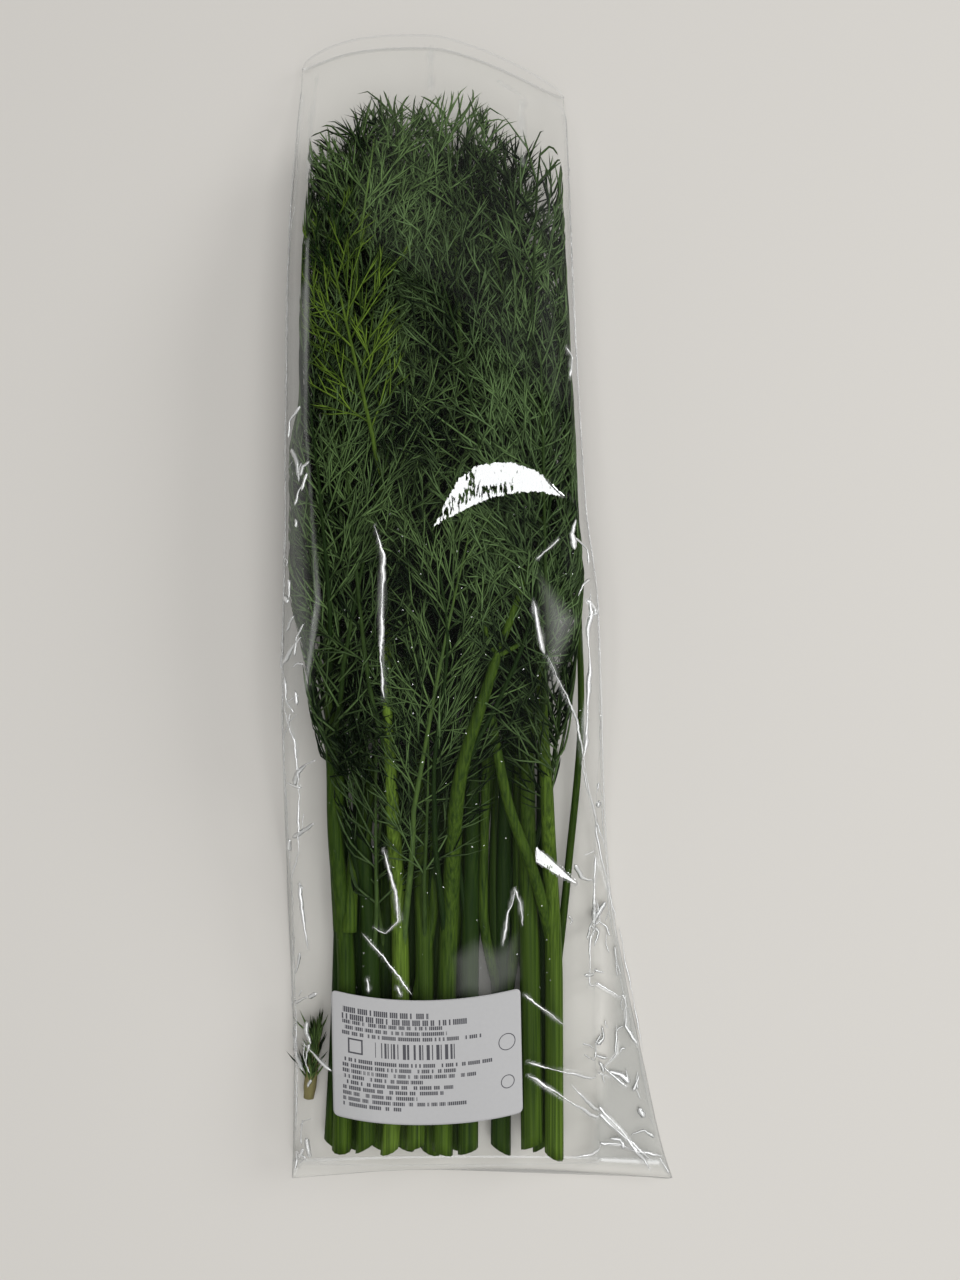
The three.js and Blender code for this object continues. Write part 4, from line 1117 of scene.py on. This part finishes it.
def film_material(film):
    """Clear film: see-through, with a mirror-like face that strengthens at low angles."""
    material, tree, shader = plain_material("Clear Film")
    tree.nodes.remove(shader)
    out = next(n for n in tree.nodes if n.type == "OUTPUT_MATERIAL")
    place = object_place(tree)
    tight, crease, haze_and_shade, dewy = (attribute(tree, name) for name in FILM_MARKS)
    slack = map_range(tree, tight, to_min=film.cling, to_max=FilmLook.tight_ripple)
    ripple = noise(tree, place, FilmLook.ripple_scale, detail=4)
    normal = bump_normal(tree, ripple, slack, FilmLook.ripple_depth)
    rough = map_range(tree, tight, to_min=film.roughness, to_max=FilmLook.tight_rough)
    # Threads that press against the tight film break its shine into specks.
    pressed = noise(tree, stretched(tree, place, FilmLook.pressed_scale), 1, detail=3)
    low, high = FilmLook.speck_limits
    shine = map_range(tree, calculate(tree, "ADD", tight, pressed), from_min=low, from_max=high)
    # Small drops of dew, at some of the places of a random pattern.
    drops = add_node(tree, "ShaderNodeTexVoronoi", {
        "Vector": place, "Scale": FilmLook.drop_scale}).outputs
    dew = calculate(tree, "MULTIPLY", dewy, calculate(
        tree, "MULTIPLY", calculate(tree, "LESS_THAN", drops["Distance"], FilmLook.drop_size),
        calculate(tree, "GREATER_THAN", drops["Color"], FilmLook.drop_limit)))
    bright = calculate(tree, "MAXIMUM", calculate(tree, "MAXIMUM", shine, crease), dew)
    # The film has no inside, so its grazing shine is the same from both its sides.
    facing = add_node(tree, "ShaderNodeLayerWeight", {"Normal": normal}).outputs["Facing"]
    grazing = calculate(tree, "POWER", facing, FilmLook.facing_power)
    grazing = calculate(tree, "MULTIPLY_ADD", grazing, film.grazing, film.gloss, clamp=True)
    mirror = calculate(tree, "MULTIPLY_ADD", bright, film.glint, grazing, clamp=True)
    gloss = add_node(tree, "ShaderNodeBsdfGlossy", {
        "Color": FilmLook.mirror, "Roughness": rough, "Normal": normal})
    clear = add_node(tree, "ShaderNodeBsdfTransparent", {"Color": FilmLook.clear})
    # Creases get a white veil: painted highlight, together with the whitening of creased film.
    veil = mix_colours(tree, crease, FilmLook.veil, FilmLook.creased_veil)
    # Cloudy patches get a grey veil, which over the flap is painted shade.
    cloud_and_shade = calculate(tree, "MULTIPLY_ADD", haze_and_shade, film.cloud_and_shade, film.haze)
    veil_share = calculate(tree, "MULTIPLY_ADD", crease, film.crease_whitening_and_highlight, cloud_and_shade, clamp=True)
    haze = add_node(tree, "ShaderNodeBsdfDiffuse", {"Color": veil})
    face = mix_shaders(tree, mirror, mix_shaders(tree, veil_share, clear, haze), gloss)
    tree.links.new(face.outputs[0], out.inputs["Surface"])
    return material


def label_material(label):
    """Coated paper with plain rows of dashes and a block of bars, and no lettering."""
    material, tree, shader = plain_material("Label Paper")
    across, down = attribute(tree, "across"), attribute(tree, "down")

    def both(first, second):
        return calculate(tree, "MULTIPLY", first, second)

    def above(value, limit):
        return calculate(tree, "GREATER_THAN", value, limit)

    def between(value, low, high):
        return both(above(value, low), calculate(tree, "LESS_THAN", value, high))

    def box(x0, x1, y0, y1):
        return both(between(across, x0, x1), between(down, y0, y1))

    def random_at(value, step, offset):
        cell = calculate(tree, "FLOOR", calculate(
            tree, "DIVIDE", calculate(tree, "ADD", value, offset), step))
        return add_node(tree, "ShaderNodeTexWhiteNoise", {"W": cell},
                        noise_dimensions="1D").outputs["Value"]

    marks = []
    for number, (top, height, x0, x1) in enumerate(LABEL_ROWS):
        words = above(random_at(across, DASH, ROW_SHIFT * number), NO_DASH)
        gap = above(calculate(tree, "FRACT", calculate(tree, "DIVIDE", across, DASH)), DASH_GAP)
        marks.append(both(box(x0, x1, top, top + ROW_GROWTH * height), both(words, gap)))
    marks.append(both(box(*BAR_BLOCK), above(random_at(across, BAR, BAR_SHIFT), BAR_SHARE)))
    marks.append(calculate(tree, "SUBTRACT", box(*SQUARE), box(*SQUARE_HOLE)))
    dx = calculate(tree, "SUBTRACT", across, CIRCLES_X)
    for centre, ring in CIRCLES:
        dy = calculate(tree, "SUBTRACT", down, centre)
        d = calculate(tree, "SQRT", calculate(tree, "ADD", both(dx, dx), both(dy, dy)))
        marks.append(between(d, ring - CIRCLE_LINE, ring))
    printed = marks[0]
    for mark in marks[1:]:
        printed = calculate(tree, "MAXIMUM", printed, mark)
    fibre = noise(tree, object_place(tree), FIBRE_SCALE)
    shaded = [c * FIBRE_SHADE for c in label.paper]
    paper = mix_colours(tree, fibre, (*shaded, 1), (*label.paper, 1))
    colour = mix_colours(tree, both(printed, INK_STRENGTH), paper, (*label.ink, 1))
    tree.links.new(colour, shader.inputs["Base Color"])
    tree.links.new(bump_normal(tree, fibre, 0.15, 0.00005), shader.inputs["Normal"])
    shader.inputs["Roughness"].default_value = 0.6
    return material


# ---------------------------------------------------------------- settings
def colour(name, description, default):
    return FloatVectorProperty(name=name, description=description, default=default,
                               subtype="COLOR", min=0, max=1)


def length(name, description, default):
    return FloatProperty(name=name, description=description, default=default,
                         subtype="DISTANCE", unit="LENGTH", min=0)


def share_of_one(name, description, default):
    return FloatProperty(name=name, description=description, default=default,
                         subtype="FACTOR", min=0, max=1)


class DillSizes(bpy.types.PropertyGroup):
    """Sizes of the stems and fronds"""
    thread_radius: length("Thread radius", "Half the width of a leaf thread", 0.00035)
    thread_length: length("Thread length", "Length of the longest leaf threads", 0.0165)
    pair_spacing: length("Pair spacing", "Distance between pairs of side ribs", 0.0084)
    twig_spacing: length("Twig spacing", "Distance between twigs on a side rib", 0.0048)
    stem_ribs: IntProperty(name="Stem ribs", description="Ribs round a stem", default=11, min=5)
    rib_depth: share_of_one("Rib depth", "Depth of a stem's ribs as a share of its radius", 0.035)
    seed: IntProperty(name="Seed", description="Start of the random growth", default=5107)


class DillColours(bpy.types.PropertyGroup):
    """Colours of the stems and fronds"""
    leaf_dark: colour("Dark leaf", "Shaded leaf threads", (0.003, 0.008, 0.003))
    leaf_light: colour("Light leaf", "Leaf threads in the light", (0.14, 0.228, 0.09))
    bright_dark: colour("Bright frond, dark", "Darker threads of the young stem",
                        (0.006, 0.02, 0.003))
    bright_light: colour("Bright frond, light", "Lighter threads of the young stem",
                         (0.15, 0.245, 0.03))
    # Dark rib is also the colour that stems take in painted shade.
    rib_dark: colour("Dark rib", "Grooves of the stems", (0.006, 0.02, 0.003))
    rib: colour("Rib", "Ribs and stems", (0.08, 0.14, 0.014))
    cut: colour("Cut end", "Pith at the cut ends", (0.32, 0.36, 0.13))


class FilmSettings(bpy.types.PropertyGroup):
    """Creases and shine of the film bag"""
    crease: FloatProperty(name="Crease height", description="How sharply the film is creased",
                          default=1.0, min=0, max=3)
    grazing: share_of_one("Grazing shine", "Mirror share along the film", 0.85)
    roughness: share_of_one("Roughness", "Roughness where it clings to leaves", 0.2)
    cling: share_of_one("Cling", "Strength of the fine wrinkles over leaves", 0.15)
    haze: share_of_one("Haze", "Milkiness of the film", 0.002)
    gloss: share_of_one("Gloss", "Mirror share seen straight on", 0.001)
    glint: share_of_one("Glint", "Mirror share of tight film and creases", 0.42)
    # Over the flap this grey veil is painted shade.
    cloud_and_shade: share_of_one("Cloud", "Milkiness of the cloudy patch", 0.27)
    # The white on creases is a painted highlight together with the film's whitening there.
    crease_whitening_and_highlight: share_of_one("Crease haze", "Milkiness of the creases", 0.85)
    seed: IntProperty(name="Seed", description="Start of the random swells", default=31)


class LabelSettings(bpy.types.PropertyGroup):
    """Size and colours of the paper label"""
    width: length("Width", "Width of the label", LABEL["width"] * MM)
    height: length("Height", "Height of the label", LABEL["height"] * MM)
    paper: colour("Paper", "Colour of the paper", (0.45, 0.45, 0.455))
    ink: colour("Ink", "Colour of the marks", (0.03, 0.03, 0.04))


class StageSettings(bpy.types.PropertyGroup):
    """Surface, light and camera"""
    floor: colour("Floor", "Colour of the surface", (0.64, 0.62, 0.585))
    sky: FloatProperty(name="Ambient light", description="Strength of the even light",
                       default=0.32, min=0)
    lens: FloatProperty(name="Lens", description="Focal length", default=35.2, min=1,
                        unit="CAMERA")
    camera_height: length("Camera height", "Height of the camera above the surface", 0.4)


# ---------------------------------------------------------------- operators
def film_relief(scene):
    """The film's creases, the same for every piece that touches it."""
    return FilmRelief(scene.dill_film.seed, scene.dill_film.crease)


def on_frame(piece, node):
    """Sets a piece in the place of its solid."""
    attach(piece, "root")
    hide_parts(node)
    return piece


class DILL_OT_stems(bpy.types.Operator):
    """Grow every leafy dill stem: ribbed stem, leaf stalks and feathery fronds"""
    bl_idname = "dill.add_stems"
    bl_label = "Add Leafy Stems"

    def execute(self, context):
        sizes, colours = context.scene.dill_sizes, context.scene.dill_colours
        relief = film_relief(context.scene)
        skin = plant_skin_group()
        green = plant_material("Dill Green", skin, colours, colours.cut)
        for number, name in enumerate(STEMS):
            rng = np.random.default_rng(sizes.seed + number)
            stem = Stem(name)
            batch = TubeBatch()
            low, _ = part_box(name)
            fronds = FRONDS[stem.layer]
            cut_y = low[1] / MM - CUT_STAGGER[stem.row_z]
            ribbed_stem(batch, stem, rng, cut_y, fronds[-1][0] + STEM_PAST_FROND,
                        sizes)
            for order, (start, size, reach) in enumerate(fronds):
                start = start - mouth_dip(stem.x(start)) + rng.uniform(*FROND_STARTS)
                side = 1 if (order + number) % 2 else -1
                turn = math.radians(side * rng.uniform(*FROND_TURNS))
                level = stem.layer + 0.5 + rng.uniform(*FROND_LEVELS)
                stalk, lean, thick = FROND_STALKS[order]
                place = FrondPlace(stem, relief, start, turn, side * lean, level, stalk)
                tone = LAYER_TONES[stem.layer] + rng.uniform(*FROND_TONES)
                grow_frond(batch, place, rng, sizes, size, reach, tone,
                           rng.uniform(*FROND_YOUTH), thick)
            for start, size, reach, turn, lean, level, stalk, young in OWN_FRONDS.get(name, ()):
                place = FrondPlace(stem, relief, start, math.radians(turn), lean, level, stalk)
                grow_frond(batch, place, rng, sizes, size, reach, OWN_FROND_TONE, young,
                           OWN_FROND_THICK)
            for points, layer, thick in STALKS.get(name, ()):
                side_stalk(batch, stem, rng, points, layer, thick)
            piece = batch.piece("dill_" + name, green, ("tone", "kind", "young"))
            on_frame(piece, name)
        return {"FINISHED"}


class DILL_OT_loose_piece(bpy.types.Operator):
    """Add the broken leafy piece that lies loose beside the label"""
    bl_idname = "dill.add_loose_piece"
    bl_label = "Add Loose Piece"

    def execute(self, context):
        sizes, colours = context.scene.dill_sizes, context.scene.dill_colours
        rng = np.random.default_rng(sizes.seed + Loose.seed)
        batch = TubeBatch()
        start, end, radius = LOOSE_PIECE
        share = np.linspace(0, 1, Loose.steps)[:, None]
        path = np.array(start) + (np.array(end) - np.array(start)) * share
        foot = Loose.foot + Loose.swell * smoothstep(share[:, 0], 0, Loose.swell_over)
        radii = radius * (1 - Loose.thinner_at_end * share[:, 0]) * foot
        batch.add(path[None], radii[None], Loose.sides, [(0.5, Loose.kind, 0.0)], pointed=False)
        for _ in range(LOOSE_THREADS):
            at = path[rng.integers(*Loose.threads_from)]
            heading = rng.normal(0, Loose.turn)
            size = rng.uniform(*Loose.sizes)
            reach = size * np.linspace(0, 1, 4)[None]
            flat, _ = arc_points(np.zeros((1, 1, 2)), np.array([[heading]]),
                                 np.array([[-heading * Loose.curl / size]]), reach)
            points = np.concatenate((flat + at[:2], np.zeros((1, 4, 1))), axis=2)
            rise = radius * rng.uniform(*Loose.rise) * np.linspace(Loose.climb, 1, 4)
            points[..., 2] = np.clip(at[2] + rise, *Loose.heights)
            tone = rng.uniform(*Loose.thread_tones)
            batch.add(points, [Loose.thread_radii], 3,
                      [(tone, Loose.thread_kind, Loose.thread_young)])
        material = plant_material("Dill Stub", bpy.data.node_groups["Plant Skin"], colours,
                                  Loose.cut_colour)
        on_frame(batch.piece("dill_loose_piece", material, ("tone", "kind", "young")),
                 "loose_piece")
        return {"FINISHED"}


class DILL_OT_film_bag(bpy.types.Operator):
    """Add the creased clear film bag round the bunch"""
    bl_idname = "dill.add_film_bag"
    bl_label = "Add Film Bag"

    def execute(self, context):
        relief = film_relief(context.scene)
        y = np.concatenate((np.arange(-MOUTH_Y, -FINE_FILM_Y, FILM_STEPS[0]),
                            np.arange(-FINE_FILM_Y, FINE_FILM_Y, FILM_STEPS[1]),
                            np.linspace(FINE_FILM_Y, MOUTH_Y, UPPER_FILM_RINGS)))
        left, right, low, high, _, _, edge_z = Bag.section(y)
        even = np.linspace(0, 1, CROWN_COLUMNS)
        crown = CROWN_MIX[0] * even + CROWN_MIX[1] * (1 - np.cos(even * math.pi)) / 2
        top = np.concatenate((
            left[:, None] + (low - left)[:, None] * np.linspace(0, 1, LEFT_COLUMNS)[:-1],
            low[:, None] + (high - low)[:, None] * crown,
            high[:, None] + (right - high)[:, None] * np.linspace(0, 1, FLAP_COLUMNS)[1:]),
            axis=1)
        under = np.linspace(0, 1, UNDERSIDE_COLUMNS)[1:-1]
        round_under = (1 - np.cos(under * math.pi)) / 2
        bottom = right[:, None] + (left - right)[:, None] * round_under
        grid_y = np.repeat(y[:, None], top.shape[1], axis=1)
        top_z = relief.film_top(top, grid_y)
        top_z[:, 0] = top_z[:, -1] = edge_z
        bottom_z = np.maximum(Bag.floor(bottom, grid_y[:, :bottom.shape[1]]), UNDERSIDE_Z)
        x = np.concatenate((top, bottom), axis=1)
        z = np.concatenate((top_z, bottom_z), axis=1)
        rings_y = np.repeat(y[:, None], x.shape[1], axis=1)
        marks = {name: relief.at(x, rings_y, getattr(relief, name)) for name in FILM_MARKS[:3]}
        marks["dewy"] = (DEW * smoothstep(rings_y, *DEW_BEGINS)
                         * (1 - smoothstep(rings_y, *DEW_ENDS)))
        for mark in marks.values():
            mark[:, top.shape[1]:] = 0
        # The rim, the seal and the side folds get bright marks: painted highlights.
        rim = RIM_MARK * smoothstep(rings_y, *RIM_Y)
        seal = SEAL_MARK * np.clip(1 - np.abs(rings_y - SEAL_Y) / SEAL_HALF, 0, 1)
        from_side = np.minimum(x - left[:, None], right[:, None] - x)
        fold = SIDE_MARK * (1 - smoothstep(from_side, *SIDE_FADE)) * (rings_y < SIDE_UP_TO)
        marks["crease"] = np.maximum.reduce((marks["crease"], rim, seal, fold))
        rings_y = rings_y - mouth_dip(x) * smoothstep(rings_y, MOUTH_FROM, MOUTH_Y)
        bow = BOTTOM_BOW * np.clip(1 - ((x - 1) / BOW_HALF) ** 2, 0, 1)
        rings_y = rings_y + bow * (1 - smoothstep(y, -MOUTH_Y, BOW_UP_TO))[:, None]
        vertices = np.stack((x, rings_y, z), axis=-1).reshape(-1, 3)
        quads, j, _ = ring_faces(len(y), x.shape[1])
        quads = quads[:, [0, 3, 2, 1]]  # its rings run round the other way
        folds = fold_lines(relief, np.random.default_rng(context.scene.dill_film.seed))
        own = len(vertices)
        for i, name in enumerate(marks):
            strips = np.concatenate(folds.values)[:, i]
            marks[name] = np.concatenate((marks[name].ravel(), strips))
        piece = new_piece("film_bag_sleeve", np.concatenate((vertices, *folds.vertices)),
                          [np.concatenate((quads, *[q + own for q in folds.quads])),
                           np.concatenate(folds.triangles) + own, j[None, ::-1]],
                          film_material(context.scene.dill_film), marks)
        on_frame(piece, "film_bag")
        return {"FINISHED"}


class DILL_OT_paper_label(bpy.types.Operator):
    """Add the paper label that follows the film over the cut ends"""
    bl_idname = "dill.add_paper_label"
    bl_label = "Add Paper Label"

    def execute(self, context):
        label = context.scene.dill_label
        relief = film_relief(context.scene)
        width, height = label.width / MM, label.height / MM
        columns, rows = LABEL_GRID
        u, v = np.meshgrid(np.linspace(-0.5, 0.5, columns) * width,
                           np.linspace(-0.5, 0.5, rows) * height, indexing="ij")
        corner = LABEL["corner"]
        over = np.hypot(np.maximum(np.abs(u) - width / 2 + corner, 0),
                        np.maximum(np.abs(v) - height / 2 + corner, 0))
        pull = np.where(over > corner, corner / np.maximum(over, 1e-6), 1)
        core_u = np.clip(u, -width / 2 + corner, width / 2 - corner)
        core_v = np.clip(v, -height / 2 + corner, height / 2 - corner)
        u, v = core_u + (u - core_u) * pull, core_v + (v - core_v) * pull
        turn = math.radians(LABEL["turn"])
        x = LABEL["x"] + u * math.cos(turn) - v * math.sin(turn)
        y = LABEL["y"] + u * math.sin(turn) + v * math.cos(turn)
        y -= LABEL["bow"] * (1 - (2 * u / width) ** 2)
        film = Bag.ceiling(x, y) + 0.35 * relief.at(x, y)
        vertices = np.concatenate([np.stack((x, y, film + above), axis=-1).reshape(-1, 3)
                                   for above in LABEL_ABOVE_FILM])
        index = np.arange(columns * rows).reshape(columns, rows)
        cell = np.stack((index[:-1, :-1], index[1:, :-1], index[1:, 1:], index[:-1, 1:]),
                        axis=-1).reshape(-1, 4)
        top = cell + columns * rows
        edge = np.concatenate((index[:, 0], index[-1, 1:], index[-2::-1, -1], index[0, -2:0:-1]))
        following = np.roll(edge, -1)
        wall = np.stack((edge, following, following + columns * rows, edge + columns * rows),
                        axis=-1)
        values = {"across": np.tile((u + width / 2).ravel(), 2),
                  "down": np.tile((height / 2 - v).ravel(), 2)}
        piece = new_piece("label_sheet", vertices, [cell[:, ::-1], top, wall],
                          label_material(label), values)
        on_frame(piece, "paper_label")
        return {"FINISHED"}


class DILL_OT_stage(bpy.types.Operator):
    """Add the pale surface, the soft lights and the camera"""
    bl_idname = "dill.add_stage"
    bl_label = "Add Stage"

    def execute(self, context):
        stage = context.scene.dill_stage
        material, _, shader = plain_material("Pale Surface")
        shader.inputs["Base Color"].default_value = (*stage.floor, 1)
        shader.inputs["Roughness"].default_value = 0.75
        corners = [(sx * FLOOR_HALF, sy * FLOOR_HALF, 0)
                   for sx, sy in ((-1, -1), (1, -1), (1, 1), (-1, 1))]
        new_piece("stage_floor", corners, [[(0, 1, 2, 3)]], material, smooth=False)

        world = bpy.data.worlds.new("Soft Room")
        world.use_nodes = True
        sky = next(n for n in world.node_tree.nodes if n.type == "BACKGROUND")
        sky.inputs["Color"].default_value = (1.0, 0.99, 0.98, 1)
        sky.inputs["Strength"].default_value = stage.sky
        context.scene.world = world

        for name, (place, target, width, depth, power) in LIGHTS.items():
            lamp = bpy.data.lights.new(name, "AREA")
            lamp.shape = "RECTANGLE"
            lamp.size, lamp.size_y = width, depth
            lamp.energy = power
            holder = bpy.data.objects.new(name, lamp)
            holder.location = place
            aim = Vector(target) - Vector(place)
            holder.rotation_euler = aim.to_track_quat("-Z", "Y").to_euler()
            context.scene.collection.objects.link(holder)

        camera = bpy.data.cameras.new("camera")
        camera.sensor_width = 36
        camera.lens = stage.lens
        camera.clip_start = 0.01
        eye = bpy.data.objects.new("camera", camera)
        eye.location = (0, CAMERA_Y, stage.camera_height)
        context.scene.collection.objects.link(eye)
        context.scene.camera = eye
        context.scene.view_settings.view_transform = "Standard"
        return {"FINISHED"}


class DILL_PT_panel(bpy.types.Panel):
    """Lists the pieces of the bagged dill bunch"""
    bl_idname = "DILL_PT_panel"
    bl_label = "Bagged Dill Bunch"
    bl_space_type = "VIEW_3D"
    bl_region_type = "UI"
    bl_category = "Dill"

    def draw(self, context):
        layout = self.layout
        for operator in OPERATORS:
            layout.operator(operator.bl_idname)
        for group in SETTINGS:
            settings = getattr(context.scene, group)
            box = layout.box()
            for key in settings.bl_rna.properties.keys():
                if key not in {"rna_type", "name"}:
                    box.prop(settings, key)


OPERATORS = (DILL_OT_stems, DILL_OT_loose_piece, DILL_OT_film_bag, DILL_OT_paper_label,
             DILL_OT_stage)
SETTINGS = {"dill_sizes": DillSizes, "dill_colours": DillColours, "dill_film": FilmSettings,
            "dill_label": LabelSettings, "dill_stage": StageSettings}


def register():
    for cls in (*SETTINGS.values(), *OPERATORS, DILL_PT_panel):
        bpy.utils.register_class(cls)
    for name, cls in SETTINGS.items():
        setattr(bpy.types.Scene, name, PointerProperty(type=cls))


def unregister():
    for name in SETTINGS:
        delattr(bpy.types.Scene, name)
    for cls in (DILL_PT_panel, *reversed(OPERATORS), *reversed(tuple(SETTINGS.values()))):
        bpy.utils.unregister_class(cls)


def main():
    register()
    bpy.ops.dill.add_stems()
    bpy.ops.dill.add_loose_piece()
    bpy.ops.dill.add_film_bag()
    bpy.ops.dill.add_paper_label()
    bpy.ops.dill.add_stage()


if __name__ == "__main__":
    main()
